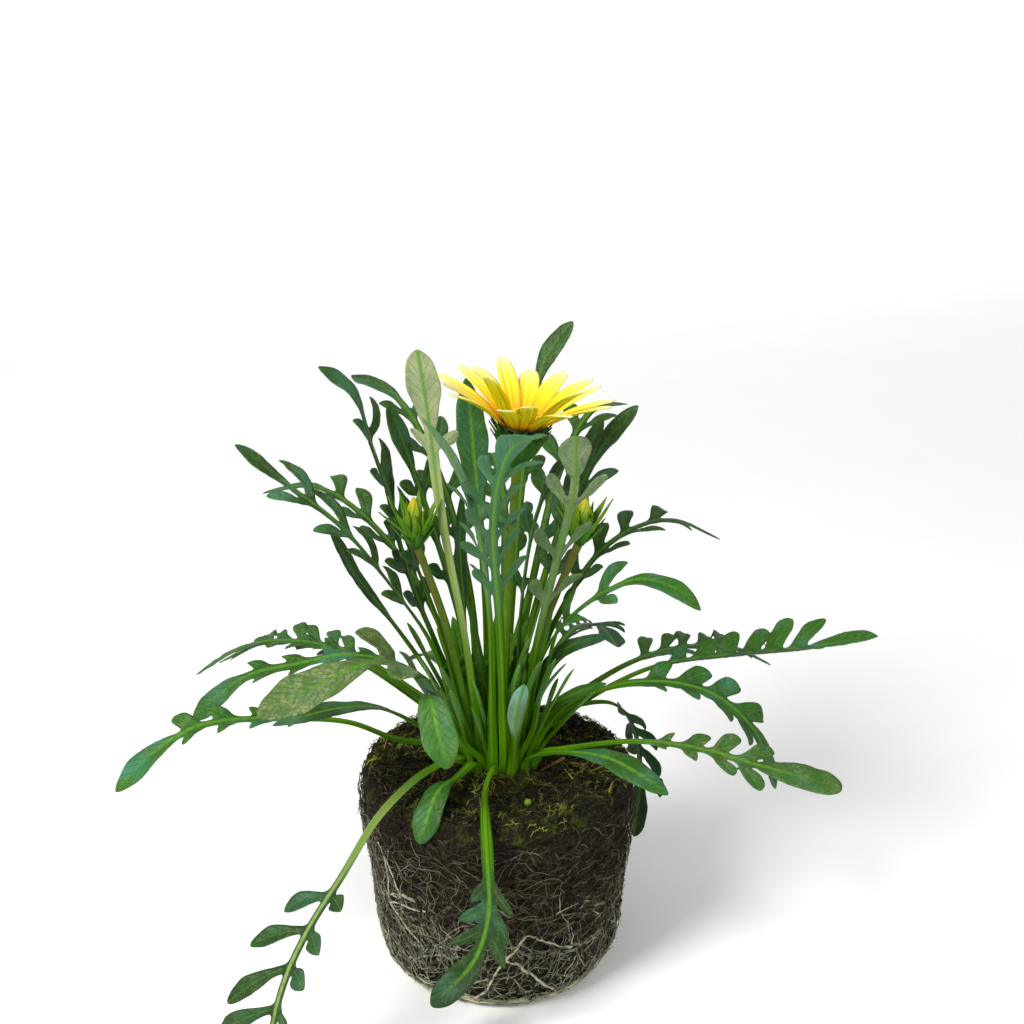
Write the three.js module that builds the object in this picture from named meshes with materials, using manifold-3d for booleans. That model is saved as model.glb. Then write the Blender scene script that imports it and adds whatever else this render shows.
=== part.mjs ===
// A gazania lifted out of its nursery pot: a root ball netted with roots, a mat of moss on the soil,
// the crown, the cut leaves that rise and arch from it, one open flower and two buds.
// Millimetres, +Z up. The origin is the middle of the root ball's flat underside. The plant's front is -Y.
import * as THREE from "three";
import { mergeVertices } from "three/addons/utils/BufferGeometryUtils.js";
import Module from "manifold-3d";

const wasm = await Module();
wasm.setup();

// Driving sizes
const GAP = 0.3; // clearance between pieces that rest on each other
const BALL_HEIGHT = 75;
const BALL_PROFILE = [ // [height, radius] up the flank
  [0, 35],
  [2.5, 38.5],
  [10, 41.8],
  [26, 43.8],
  [42, 45.6],
  [58, 47.4],
  [70, 48.8],
  [BALL_HEIGHT, 46.5],
];
const BALL_SIDES = 32;
const BALL_BUMP = 0.7;
const ROOT_COUNT = 22;
const ROOT_RADIUS = 1.3;
const ROOT_STEPS = 6;
const MOSS = { inner: 17.2, outer: 44.5, thickness: 1.6, bump: 1.1, sides: 30 };
const CROWN = { bottom: 16.4, top: 15.6, height: 4.4, sides: 18 };
const CROWN_TOP = BALL_HEIGHT + GAP + CROWN.height;
const RING_RADII = [2.6, 6, 9.2, 12.2, 14.6]; // leaf feet stand on the crown in these rings
const FOOT_HEIGHT = CROWN_TOP + 0.7; // middle of a leaf's foot, so that a leaning foot stays clear
const NECK = { out: 1, up: 4 }; // every stalk rises this much before it leans away
const STALK_WIDE = 1.85; // half the width of a stalk at its foot
const SWING_SHARE = 0.3; // over this share of its rib a leaf turns from its foot's stance to its own heading
const THIN = { stalk: 0.8, rib: 0.5, midrib: 0.45, edge: 0.3 }; // half thicknesses of a stalk and of blades

// Colours
const LEAF_GREEN = 0x44743f;
const FELT_GREEN = 0x8a9a78;
const YOUNG_GREEN = 0x7fae3c;
const PETAL_YELLOW = 0xf6cf33;
const DISC_ORANGE = 0xb8741c;
const STALK_OLIVE = 0x6f7f3a;
const SOIL_BROWN = 0x4b3a2d;
const MOSS_GREEN = 0x6d6b2e;

// Kinds of leaf: pairs of side lobes and the share of the rib that is bare below them; the lobes' length and
// the share of it that the lowest lobes have; by what share the left lobes are longer and the right ones
// shorter; their half width and forward sweep; how steeply the blade folds up; the length and half width of
// the end lobe; and the half width of the stalk's upper end and of the rib's wings.
const CUT = {
  pairs: 5, from: 0.44, lobe: 14, grow: 0.75, uneven: 0, lobeHalf: 2.5, sweep: 50, fold: 14, end: 24,
  endHalf: 4.4, throat: 1.3, wing: 1.5,
};
const TOOTHED = {
  pairs: 5, from: 0.4, lobe: 6, grow: 0.8, uneven: 0, lobeHalf: 1.7, sweep: 40, fold: 10, end: 28,
  endHalf: 4.8, throat: 1.3, wing: 1.9,
};
const PLAIN = { pairs: 0, lobe: 0, lobeHalf: 0, fold: 12, end: 55, endHalf: 5.5, throat: 1.3, wing: 1.5 };

// The leaves. Each stands in a ring of feet at a turn in degrees (0 right, 90 back), and its rib goes through
// the points of its way. roll turns the blade about its rib, in degrees, at its foot and at its tip.
const LEAVES = {
  leaf_front_hanging: {
    ...CUT, ring: 4, turn: 266, pairs: 3, from: 0.53, lobe: 13, grow: 0.5, lobeHalf: 2.6, end: 27, endHalf: 5,
    throat: 3.2, wing: 2,
    way: [[-4, -27, 82], [-4, -45, 82], [-3, -56, 70], [-3, -58, 50], [-8, -61, 35], [-22, -66, 21]],
  },
  leaf_front_left_trailing: {
    ...CUT, ring: 4, turn: 221, pairs: 4, from: 0.51, lobe: 20, grow: 0.5, uneven: -0.3, lobeHalf: 2.9,
    sweep: 57, end: 18, roll: [0, 15],
    way: [[-25, -24, 86], [-39, -41, 80], [-50, -61, 70], [-61, -79, 59], [-68, -93, 47], [-74, -108, 20]],
  },
  leaf_left_low: {
    ...CUT, ring: 4, turn: 188, pairs: 4, lobe: 8, grow: 0.4, end: 28, endHalf: 4.8, roll: [0, -25],
    way: [[-34, -8, 90], [-51, -12, 99], [-74, -18, 104], [-100, -25, 105], [-114, -29, 98], [-129, -33, 84]],
  },
  leaf_left_broad: {
    ...CUT, ring: 3, turn: 223, pairs: 2, from: 0.3, lobe: 15, lobeHalf: 4.6, sweep: 60, end: 42,
    endHalf: 7.5, roll: [0, -25],
    way: [[-22, -16, 109], [-31, -27, 128], [-41, -40, 136], [-57, -50, 133], [-76, -58, 126]],
  },
  leaf_left_strip: {
    ...TOOTHED, ring: 3, turn: 184, pairs: 4, end: 24, roll: [0, -30],
    way: [[-20, 0, 104], [-33, -1, 115], [-51, -2, 120], [-69, -3, 117], [-87, -5, 113], [-106, -8, 98]],
  },
  leaf_left_strap: {
    ...PLAIN, ring: 4, turn: 205, end: 45, endHalf: 5,
    way: [[-27, -12, 98], [-40, -20, 109], [-52, -28, 113], [-74, -38, 112]],
  },
  leaf_front_folded: {
    ...PLAIN, ring: 3, turn: 243, end: 30, endHalf: 6.2, fold: 4,
    way: [[-13, -22, 98], [-19, -30, 115], [-22, -38, 123], [-20, -47, 119], [-16, -53, 104]],
  },
  leaf_front_short: {
    ...PLAIN, ring: 4, turn: 240, end: 26, endHalf: 5.2, fold: 8,
    way: [[-14, -22, 83], [-20, -33, 84], [-26, -45, 71]],
  },
  leaf_front_upright_blade: {
    ...PLAIN, ring: 4, turn: 290, end: 22, endHalf: 3.2, fold: 20,
    way: [[6, -19, 97], [6, -22, 106], [9, -26, 121]],
  },
  leaf_right_long: {
    ...CUT, ring: 3, turn: 20, pairs: 6, lobe: 15, grow: 0.3, lobeHalf: 3, fold: 30, end: 24, endHalf: 4.8,
    way: [[22, 6, 91], [36, 9, 100], [57, 12, 109], [86, 13, 113], [114, 13, 116], [134, 13, 120]],
  },
  leaf_right_second: {
    ...CUT, ring: 3, turn: 336, pairs: 4, lobe: 12, grow: 0.5, lobeHalf: 3, fold: 20, wing: 2.4,
    roll: [0, 15],
    way: [[22, -4, 99], [42, -7, 111], [62, -10, 113], [76, -13, 109], [88, -17, 98], [96, -21, 78]],
  },
  leaf_right_lobed: {
    ...CUT, ring: 4, turn: 330, pairs: 4, lobe: 14, grow: 0.1, lobeHalf: 3.2, end: 28, endHalf: 5.4,
    roll: [0, 20],
    way: [[22, -16, 91], [48, -27, 100], [68, -36, 102], [90, -44, 99], [113, -50, 95]],
  },
  leaf_right_strap: {
    ...PLAIN, ring: 4, turn: 310, end: 40, endHalf: 4.8, roll: [0, 20],
    way: [[21, -24, 94], [38, -38, 99], [56, -52, 94]],
  },
  leaf_right_short: {
    ...PLAIN, ring: 3, turn: 358, end: 26, endHalf: 3, roll: [0, 20],
    way: [[18, 0, 98], [27, 1, 103], [38, 2, 107]],
  },
  leaf_right_arch: {
    ...CUT, ring: 2, turn: 355, pairs: 2, lobe: 13, end: 30, endHalf: 3.6, roll: [0, 30],
    way: [[14, -2, 116], [24, -5, 135], [36, -7, 146], [48, -10, 152], [60, -14, 150], [68, -17, 144]],
  },
  leaf_right_entire: {
    ...PLAIN, ring: 3, turn: 40, end: 34, endHalf: 3.2, roll: [0, 20],
    way: [[15, 10, 101], [23, 13, 114], [40, 16, 119]],
  },
  leaf_front_right_small: {
    ...PLAIN, ring: 3, turn: 304, end: 20, endHalf: 2.6,
    way: [[12, -12, 96], [15, -16, 112], [23, -22, 127]],
  },
  leaf_right_upright: {
    ...CUT, ring: 2, turn: 40, pairs: 3, lobe: 13, end: 26, endHalf: 3.8, roll: [0, 20],
    way: [[17, 14, 133], [27, 20, 169], [36, 23, 187], [48, 24, 202]],
  },
  leaf_right_round: {
    ...CUT, ring: 2, turn: 318, pairs: 3, lobe: 15, lobeHalf: 2.1, sweep: 46, end: 15, endHalf: 5.3,
    roll: [0, -30],
    way: [[13, -9, 126], [20, -17, 164], [25, -22, 190], [25, -26, 209]],
  },
  leaf_tall: {
    ...CUT, ring: 2, turn: 236, pairs: 1, from: 0.75, lobe: 9, lobeHalf: 1.9, sweep: 62,
    end: 28, endHalf: 5.8, fold: 6, wing: 2.1, roll: [10, 55],
    way: [[-11, -8, 129], [-18, -10, 173], [-22, -13, 211], [-25, -16, 234.5]],
  },
  leaf_left_upper: {
    ...CUT, ring: 2, turn: 200, pairs: 4, lobe: 13, end: 22, endHalf: 4, roll: [0, -15],
    way: [[-20, 2, 129], [-34, 2, 171], [-41, 0, 195], [-47, -1, 215], [-58, -1, 224]],
  },
  leaf_left_feathered: {
    ...CUT, ring: 3, turn: 203, pairs: 4, lobe: 17, end: 22, endHalf: 3.4, sweep: 42, roll: [0, -30],
    way: [[-21, -13, 127], [-34, -23, 155], [-50, -28, 179], [-65, -30, 193], [-82, -31, 208]],
  },
  leaf_front_curled: {
    ...CUT, ring: 3, turn: 262, pairs: 3, from: 0.46, lobe: 13, lobeHalf: 1.9, sweep: 40, end: 36,
    endHalf: 3.3,
    way: [[-2, -13, 130], [-4, -18, 161], [-8, -22, 184], [-15, -28, 204], [-23, -31, 217]],
  },
  leaf_front_hooded: {
    ...CUT, ring: 3, turn: 281, from: 0.48, lobe: 16, lobeHalf: 1.8, sweep: 45, fold: 28, end: 25,
    endHalf: 6.2,
    way: [[1, -24, 140], [-1, -35, 180], [1, -42, 201], [6, -48, 214], [14, -57, 220]],
  },
  leaf_behind_flower: {
    ...CUT, ring: 2, turn: 80, pairs: 3, lobe: 11, end: 24, endHalf: 4,
    way: [[5, 22, 131], [10, 33, 184], [16, 39, 212], [26, 44, 226]],
  },
  leaf_middle_slim: {
    ...CUT, ring: 1, turn: 20, pairs: 2, lobe: 10, end: 24, endHalf: 3.4,
    way: [[8, 8, 134], [13, 9, 167], [19, 9, 182], [26, 9, 193]],
  },
  leaf_middle_dark: {
    ...PLAIN, ring: 1, turn: 150, end: 44, endHalf: 4.2,
    way: [[-10, 4, 107], [-12, 6, 138], [-13, 7, 158], [-12, 7, 176]],
  },
  leaf_left_dark: {
    ...CUT, ring: 2, turn: 162, pairs: 3, lobe: 12, end: 26, endHalf: 3.8,
    way: [[-18, 9, 108], [-31, 14, 144], [-37, 17, 171], [-39, 18, 191]],
  },
  leaf_left_lance: {
    ...PLAIN, ring: 3, turn: 164, end: 42, endHalf: 4.2, roll: [0, -20],
    way: [[-22, 6, 105], [-35, 5, 127], [-48, 3, 147], [-57, 1, 167]],
  },
  leaf_back_right_hanging: {
    ...CUT, ring: 4, turn: 51, pairs: 4, lobe: 12, lobeHalf: 3, end: 26, endHalf: 5,
    way: [[28, 25, 86], [43, 34, 82], [51, 40, 68], [54, 42, 46], [52, 42, 20]],
  },
  leaf_back_right_long: {
    ...CUT, ring: 4, turn: 33, lobe: 13,
    way: [[30, 17, 96], [57, 34, 103], [84, 50, 98], [104, 62, 84]],
  },
  leaf_back_low: {
    ...CUT, ring: 4, turn: 69, lobe: 13, lobeHalf: 3, end: 28, endHalf: 5.4,
    way: [[16, 34, 94], [28, 62, 99], [40, 88, 88], [48, 106, 70]],
  },
  leaf_back_hanging: {
    ...CUT, ring: 4, turn: 103, pairs: 4, lobe: 12, lobeHalf: 3, end: 28, endHalf: 5,
    way: [[-4, 30, 82], [-6, 47, 79], [-7, 58, 66], [-8, 62, 46], [-4, 66, 24]],
  },
  leaf_back_left_long: {
    ...CUT, ring: 4, turn: 140, pairs: 6, lobe: 13,
    way: [[-30, 22, 93], [-56, 38, 102], [-84, 54, 98], [-108, 68, 82]],
  },
  leaf_back_left_low: {
    ...TOOTHED, ring: 4, turn: 157, end: 26,
    way: [[-34, 14, 98], [-60, 24, 110], [-88, 32, 108], [-112, 38, 92]],
  },
  leaf_back_right_arch: {
    ...CUT, ring: 3, turn: 60, pairs: 4, lobe: 13,
    way: [[20, 23, 120], [38, 36, 144], [60, 48, 150], [82, 58, 138]],
  },
  leaf_back_tall_arch: {
    ...CUT, ring: 3, turn: 80, pairs: 4, lobe: 13, end: 26,
    way: [[12, 30, 132], [22, 50, 168], [34, 70, 184], [48, 90, 180]],
  },
  leaf_back_arch: {
    ...CUT, ring: 3, turn: 100, lobe: 13,
    way: [[2, 32, 124], [2, 54, 154], [-2, 78, 164], [-6, 100, 150]],
  },
  leaf_back_left_tall_arch: {
    ...CUT, ring: 3, turn: 120, pairs: 4, lobe: 13,
    way: [[-10, 24, 132], [-21, 42, 170], [-36, 60, 192], [-54, 76, 196]],
  },
  leaf_back_left_arch: {
    ...CUT, ring: 3, turn: 141, pairs: 4, lobe: 13, end: 26,
    way: [[-22, 20, 124], [-42, 32, 152], [-64, 44, 164], [-86, 54, 158]],
  },
  leaf_back_upright: {
    ...PLAIN, ring: 2, turn: 107, end: 50, endHalf: 5.6,
    way: [[-4, 19, 130], [-8, 32, 174], [-11, 42, 206]],
  },
  leaf_back_left_upright: {
    ...CUT, ring: 2, turn: 135, pairs: 3, lobe: 11,
    way: [[-14, 15, 128], [-26, 24, 168], [-38, 30, 200]],
  },
  leaf_back_right_upright: {
    ...PLAIN, ring: 1, turn: 62, end: 46, endHalf: 5,
    way: [[13, 17, 128], [25, 30, 164], [37, 42, 192]],
  },
  leaf_back_right_short: {
    ...PLAIN, ring: 4, turn: 86, end: 26, endHalf: 4.4,
    way: [[6, 26, 92], [9, 42, 98], [10, 58, 88]],
  },
  leaf_back_left_short: {
    ...PLAIN, ring: 4, turn: 121, end: 28, endHalf: 4.6,
    way: [[-14, 24, 92], [-24, 40, 99], [-34, 54, 90]],
  },
};

// The open flower
const FLOWER = { at: [8, 0, 203], leanRight: 6.5, leanBack: 3.5 };
const RAYS = { count: 17, length: 33.5, half: 3.4, root: 6.4, steep: 47, flat: 18, stagger: 3 };
const RAY_OUTLINE = [ // [share of the length, share of the width]
  [0, 0.42],
  [0.28, 0.8],
  [0.55, 1],
  [0.8, 0.78],
  [1, 0],
];
const HUB = { radius: 7.4, below: 1.2, above: 0.5, sides: 17 };
const DISC = { radius: 6.2, height: 2.6, florets: 34, floretHalf: 0.72, sides: 14 };
const CUP = { radius: 8, foot: 1.7, height: 13, sides: 12, bracts: 12 };
const FLOWER_STALK = { ring: 0, turn: 0, radius: 1.5, way: [[2.5, 0, 101], [3.5, 0, 140], [5.5, 0, 172]] };

// The buds: stalk, cup with a crown of linear bracts, and the rolled petals that stand in it
const BUDS = {
  bud_left: {
    ring: 1, turn: 212, way: [[-11, -6, 104], [-18, -9, 137]], at: [-27, -12, 171],
    axis: [-0.04, -0.04, 1], petals: 12,
  },
  bud_right: {
    ring: 1, turn: 335, way: [[8, 0, 101], [17, 2, 132]], at: [28.5, 0, 167],
    axis: [0.1, -0.04, 1], petals: 11,
  },
};
const BUD_CUP = { radius: 4.4, foot: 1.5, height: 6.5, sides: 10, bracts: 9, bractLength: 12 };

const radians = THREE.MathUtils.degToRad;
const point = (x, y, z) => new THREE.Vector3(x, y, z);

// A repeatable stream of numbers from 0 to 1
function stream(seed) {
  let state = seed;
  return () => {
    state = (state * 48271) % 2147483647;
    return state / 2147483647;
  };
}

function geometryOf(positions, triangles) {
  const geometry = new THREE.BufferGeometry();
  geometry.setAttribute("position", new THREE.Float32BufferAttribute(positions, 3));
  geometry.setIndex(triangles);
  return geometry;
}

// Joining closed pieces into one body
function solidOf(geometry) {
  const corners = geometry.index ? [...geometry.index.array] : null;
  const merged = mergeVertices(geometryOf(geometry.getAttribute("position").array, corners), 1e-4);
  return new wasm.Manifold(
    new wasm.Mesh({
      numProp: 3,
      vertProperties: merged.getAttribute("position").array,
      triVerts: new Uint32Array(merged.index.array),
    }),
  );
}

function fused(pieces) {
  const whole = pieces.map(solidOf).reduce((sum, piece) => sum.add(piece));
  const mesh = whole.getMesh();
  return geometryOf(mesh.vertProperties, [...mesh.triVerts]);
}

// A closed body of rings round the Z axis. pointAt(row, turn) gives its points. A closed loop of rows makes
// a ring with a hole, and otherwise the first and last rows are filled by a fan.
function rings(rows, sides, loop, pointAt) {
  const positions = [];
  const triangles = [];
  for (let row = 0; row < rows; row++) {
    for (let side = 0; side < sides; side++) {
      positions.push(...pointAt(row, (2 * Math.PI * side) / sides));
    }
  }
  const index = (row, side) => (row % rows) * sides + (side % sides);
  for (let row = 0; row < (loop ? rows : rows - 1); row++) {
    for (let side = 0; side < sides; side++) {
      const [a, b] = [index(row, side), index(row, side + 1)];
      const [c, d] = [index(row + 1, side + 1), index(row + 1, side)];
      triangles.push(a, b, c, a, c, d);
    }
  }
  if (!loop) {
    for (let side = 1; side < sides - 1; side++) {
      triangles.push(index(0, 0), index(0, side + 1), index(0, side));
      triangles.push(index(rows - 1, 0), index(rows - 1, side), index(rows - 1, side + 1));
    }
  }
  return geometryOf(positions, triangles);
}

// A stalk or root: a section of a few sides run along a curve
function stem(curve, radius, sides, steps) {
  const corners = [];
  for (let side = 0; side < sides; side++) {
    const turn = (2 * Math.PI * side) / sides;
    corners.push(new THREE.Vector2(radius * Math.cos(turn), radius * Math.sin(turn)));
  }
  return new THREE.ExtrudeGeometry(new THREE.Shape(corners), {
    steps,
    extrudePath: curve,
    curveSegments: 1,
    bevelEnabled: false,
  });
}

// A blade: points on its middle face, each with the way its upper side faces and half its thickness there,
// and triangles on that face, anticlockwise from above. Both faces are split alike, and walls close the rim.
function blade(points, triangles) {
  const positions = [];
  for (const sign of [1, -1]) {
    for (const { at, up, half } of points) {
      positions.push(...at.clone().addScaledVector(up, sign * half));
    }
  }
  const count = points.length;
  const all = [];
  const directed = new Set();
  for (const [a, b, c] of triangles) {
    all.push(a, b, c, a + count, c + count, b + count);
    for (const edge of [[a, b], [b, c], [c, a]]) directed.add(edge.join());
  }
  for (const edge of directed) {
    const [a, b] = edge.split(",").map(Number);
    if (directed.has(`${b},${a}`)) continue;
    all.push(b, a, a + count, b, a + count, b + count);
  }
  return geometryOf(positions, all);
}

// The foot of a leaf or stalk on the crown, and the neck above it
const footOf = ({ ring, turn }) => {
  const reach = RING_RADII[ring];
  return point(reach * Math.cos(radians(turn)), reach * Math.sin(radians(turn)), FOOT_HEIGHT);
};

function neckOf(piece) {
  const foot = footOf(piece);
  const out = point(foot.x, foot.y, 0).normalize();
  return [foot, foot.clone().addScaledVector(out, NECK.out).add(point(0, 0, NECK.up))];
}

// The rib as a smooth curve from the foot, with the blade's own directions at a distance along it
function ribOf(leaf) {
  const points = [...neckOf(leaf), ...leaf.way.map((p) => point(...p))];
  const curve = new THREE.CatmullRomCurve3(points, false, "centripetal");
  const length = curve.getLength();
  const [foot, tip] = [points[0], points[points.length - 1]];
  const stance = radians(leaf.turn);
  const heading = Math.atan2(tip.y - foot.y, tip.x - foot.x);
  const swing = THREE.MathUtils.euclideanModulo(heading - stance + Math.PI, 2 * Math.PI) - Math.PI;
  const [rollFoot, rollTip] = leaf.roll ?? [0, 0];
  const frameAt = (distance) => {
    const share = THREE.MathUtils.clamp(distance / length, 0, 1);
    const along = curve.getTangentAt(share);
    const facing = stance + swing * THREE.MathUtils.smoothstep(share, 0, SWING_SHARE);
    const left = point(-Math.sin(facing), Math.cos(facing), 0);
    const roll = radians(THREE.MathUtils.lerp(rollFoot, rollTip, share));
    const across = left.clone().addScaledVector(along, -left.dot(along)).normalize();
    across.applyAxisAngle(along, roll);
    return { at: curve.getPointAt(share), across, up: along.clone().cross(across) };
  };
  return { length, frameAt };
}

function leafGeometry(leaf) {
  const rib = ribOf(leaf);
  const points = [];
  const triangles = [];
  const place = (distance, sideways, half, lift = 0) => {
    const { at, across, up } = rib.frameAt(distance);
    at.addScaledVector(across, sideways).addScaledVector(up, lift);
    points.push({ at, up, half });
    return points.length - 1;
  };

  // Stations along the rib: the bare stalk, a base for each pair of lobes, and the start of the end lobe
  const endStart = rib.length - leaf.end;
  const firstLobe = leaf.pairs ? rib.length * leaf.from : endStart;
  const pitch = leaf.pairs ? (endStart - firstLobe) / leaf.pairs : 0;
  const base = Math.min(2.4, pitch * 0.3);
  const stalkSteps = Math.max(3, Math.round(firstLobe / 20));
  const stations = [];
  for (let step = 0; step < stalkSteps; step++) stations.push({ at: (firstLobe * step) / stalkSteps });
  for (let pair = 0; pair < leaf.pairs; pair++) {
    const middle = firstLobe + pitch * (pair + 0.45);
    stations.push({ at: middle - base, pair }, { at: middle + base });
  }
  stations.push({ at: endStart });

  const thick = (distance) => THREE.MathUtils.lerp(THIN.stalk, THIN.rib, distance / endStart);
  const wide = (distance) => {
    const stalk = THREE.MathUtils.lerp(STALK_WIDE, leaf.throat, Math.min(1, distance / firstLobe));
    const winged = THREE.MathUtils.smoothstep(distance, firstLobe * 0.6, firstLobe);
    return THREE.MathUtils.lerp(stalk, leaf.wing, winged);
  };
  const sides = stations.map(({ at }) => ({
    right: place(at, -wide(at), thick(at)),
    left: place(at, wide(at), thick(at)),
  }));
  for (let i = 0; i < sides.length - 1; i++) {
    triangles.push([sides[i].right, sides[i + 1].right, sides[i + 1].left]);
    triangles.push([sides[i].right, sides[i + 1].left, sides[i].left]);
  }

  // Side lobes: a swept kite on each side of its base
  const fold = Math.tan(radians(leaf.fold));
  stations.forEach(({ at, pair }, i) => {
    if (pair === undefined) return;
    const share = (pair + 1) / (leaf.pairs + 1);
    for (const side of [1, -1]) {
      const own = 1 + side * leaf.uneven + 0.12 * Math.sin(5 * pair + 2 * side);
      const reach = leaf.lobe * own * THREE.MathUtils.lerp(leaf.grow, 1.05, share);
      const sweep = radians(leaf.sweep + 6 * side * Math.cos(3 * pair));
      const [forward, outward] = [Math.cos(sweep), Math.sin(sweep)];
      const half = Math.min(leaf.lobeHalf, 0.3 * reach, 0.38 * pitch * outward);
      const lobePoint = (out, across) => {
        const distance = at + base + out * reach * forward - across * outward;
        const sideways = wide(at) + out * reach * outward + across * forward;
        return place(distance, side * sideways, THIN.edge, fold * out * reach * outward);
      };
      const near = side > 0 ? sides[i].left : sides[i].right;
      const far = side > 0 ? sides[i + 1].left : sides[i + 1].right;
      const outer = lobePoint(0.62, half);
      const inner = lobePoint(0.55, -half);
      const tip = lobePoint(1, 0);
      const faces = [[near, far, inner], [near, inner, outer], [outer, inner, tip]];
      for (const [a, b, c] of faces) triangles.push(side > 0 ? [a, b, c] : [b, a, c]);
    }
  });

  // End lobe: three points across, with its midrib in the fold
  const last = sides[sides.length - 1];
  const rows = leaf.end > 40 ? [0.25, 0.5, 0.74, 0.9] : [0.3, 0.6, 0.86];
  let [right, middle, left] = [last.right, null, last.left];
  for (const share of rows) {
    const bulge = Math.sin(Math.PI * share ** 1.25) ** 0.8;
    const width = THREE.MathUtils.lerp(leaf.wing * (1 - share), leaf.endHalf, bulge);
    const distance = endStart + leaf.end * share;
    const lift = fold * width * 0.6;
    const next = {
      right: place(distance, -width, THIN.edge, lift),
      middle: place(distance, 0, THIN.midrib),
      left: place(distance, width, THIN.edge, lift),
    };
    if (middle === null) {
      triangles.push([right, next.middle, left], [right, next.right, next.middle]);
      triangles.push([left, next.middle, next.left]);
    } else {
      triangles.push([right, next.right, next.middle], [right, next.middle, middle]);
      triangles.push([middle, next.middle, next.left], [middle, next.left, left]);
    }
    ({ right, middle, left } = next);
  }
  const tip = place(rib.length, 0, THIN.edge);
  triangles.push([right, tip, middle], [middle, tip, left]);
  return blade(points, triangles);
}

// The root ball: a tapered plug with roots raised over its flank
function flankRadius(height) {
  const above = BALL_PROFILE.findIndex(([level]) => level >= height);
  if (above <= 0) return BALL_PROFILE[0][1];
  const [[z0, r0], [z1, r1]] = [BALL_PROFILE[above - 1], BALL_PROFILE[above]];
  return THREE.MathUtils.mapLinear(height, z0, z1, r0, r1);
}

function rootBallGeometry() {
  const body = rings(BALL_PROFILE.length, BALL_SIDES, false, (row, turn) => {
    const [height, radius] = BALL_PROFILE[row];
    const bumpy = row > 0 && row < BALL_PROFILE.length - 1;
    const bump = bumpy ? BALL_BUMP * Math.sin(3 * turn + row) * Math.cos(7 * turn - 2 * row) : 0;
    return [(radius + bump) * Math.cos(turn), (radius + bump) * Math.sin(turn), height];
  });
  const draw = stream(31);
  const roots = [];
  for (let root = 0; root < ROOT_COUNT; root++) {
    const start = (2 * Math.PI * (root + 0.6 * draw())) / ROOT_COUNT;
    const level = 9 + 42 * draw();
    const climb = (draw() - 0.5) * 50;
    const sweep = (draw() < 0.5 ? -1 : 1) * (0.5 + 0.6 * draw());
    const phase = 6 * draw();
    const track = [];
    for (let step = 0; step <= ROOT_STEPS; step++) {
      const share = step / ROOT_STEPS;
      const turn = start + sweep * share;
      const height = THREE.MathUtils.clamp(level + climb * share + 3 * Math.sin(phase + 5 * share), 5, 66);
      const sunk = step % ROOT_STEPS ? 0 : 2;
      const reach = flankRadius(height) + 0.5 - sunk;
      track.push(point(reach * Math.cos(turn), reach * Math.sin(turn), height));
    }
    roots.push(stem(new THREE.CatmullRomCurve3(track), ROOT_RADIUS, 3, ROOT_STEPS));
  }
  return fused([body, ...roots]);
}

// Moss and soil crumbs on top of the ball, with a hole for the crown
function mossGeometry() {
  const bottom = BALL_HEIGHT + GAP;
  const rows = [
    [MOSS.outer, 0],
    [MOSS.outer - 1.5, 0.7],
    [37, 1],
    [30, 1],
    [23, 1],
    [MOSS.inner + 0.8, 0.8],
    [MOSS.inner, 0],
  ];
  return rings(rows.length, MOSS.sides, true, (row, turn) => {
    const [radius, share] = rows[row];
    const bump = share ? MOSS.bump * Math.sin(4 * turn + 2 * row) * Math.sin(7 * turn - row) : 0;
    const height = bottom + MOSS.thickness * share + Math.abs(bump);
    const reach = radius + (share === 1 ? 1.2 * Math.sin(5 * turn + row) : 0);
    return [reach * Math.cos(turn), reach * Math.sin(turn), height];
  });
}

function crownGeometry() {
  const bottom = BALL_HEIGHT + GAP;
  const rows = [[CROWN.bottom, bottom], [CROWN.top, CROWN_TOP]];
  return rings(rows.length, CROWN.sides, false, (row, turn) => {
    const [radius, height] = rows[row];
    return [radius * Math.cos(turn), radius * Math.sin(turn), height];
  });
}

// The flower head, built round its own axis and then leaned
function leanHead(geometry) {
  const lean = new THREE.Euler(radians(-FLOWER.leanBack), radians(FLOWER.leanRight), 0);
  geometry.applyMatrix4(new THREE.Matrix4().makeRotationFromEuler(lean));
  return geometry.translate(...FLOWER.at);
}

// A narrow blade that stands out of a head, with rows of [distance out, height, half width, cupping]
function petal(turn, rows) {
  const out = point(Math.cos(turn), Math.sin(turn), 0);
  const across = point(-Math.sin(turn), Math.cos(turn), 0);
  const points = [];
  const triangles = [];
  const place = (row, side) => {
    const [reach, height, width, cup] = rows[row];
    const [r0, z0] = rows[Math.max(0, row - 1)];
    const [r1, z1] = rows[Math.min(rows.length - 1, row + 1)];
    const up = out.clone().multiplyScalar(z0 - z1).add(point(0, 0, r1 - r0)).normalize();
    const at = out.clone().multiplyScalar(reach).add(point(0, 0, height));
    at.addScaledVector(across, side * width).addScaledVector(up, side ? cup : 0);
    points.push({ at, up, half: THIN.edge });
    return points.length - 1;
  };
  let previous = null;
  rows.forEach((row, i) => {
    if (i === rows.length - 1) {
      const tip = place(i, 0);
      triangles.push([previous[0], tip, previous[1]], [previous[1], tip, previous[2]]);
      return;
    }
    const next = [place(i, -1), place(i, 0), place(i, 1)];
    for (const j of previous ? [0, 1] : []) {
      triangles.push([previous[j], next[j], next[j + 1]], [previous[j], next[j + 1], previous[j + 1]]);
    }
    previous = next;
  });
  return blade(points, triangles);
}

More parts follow.
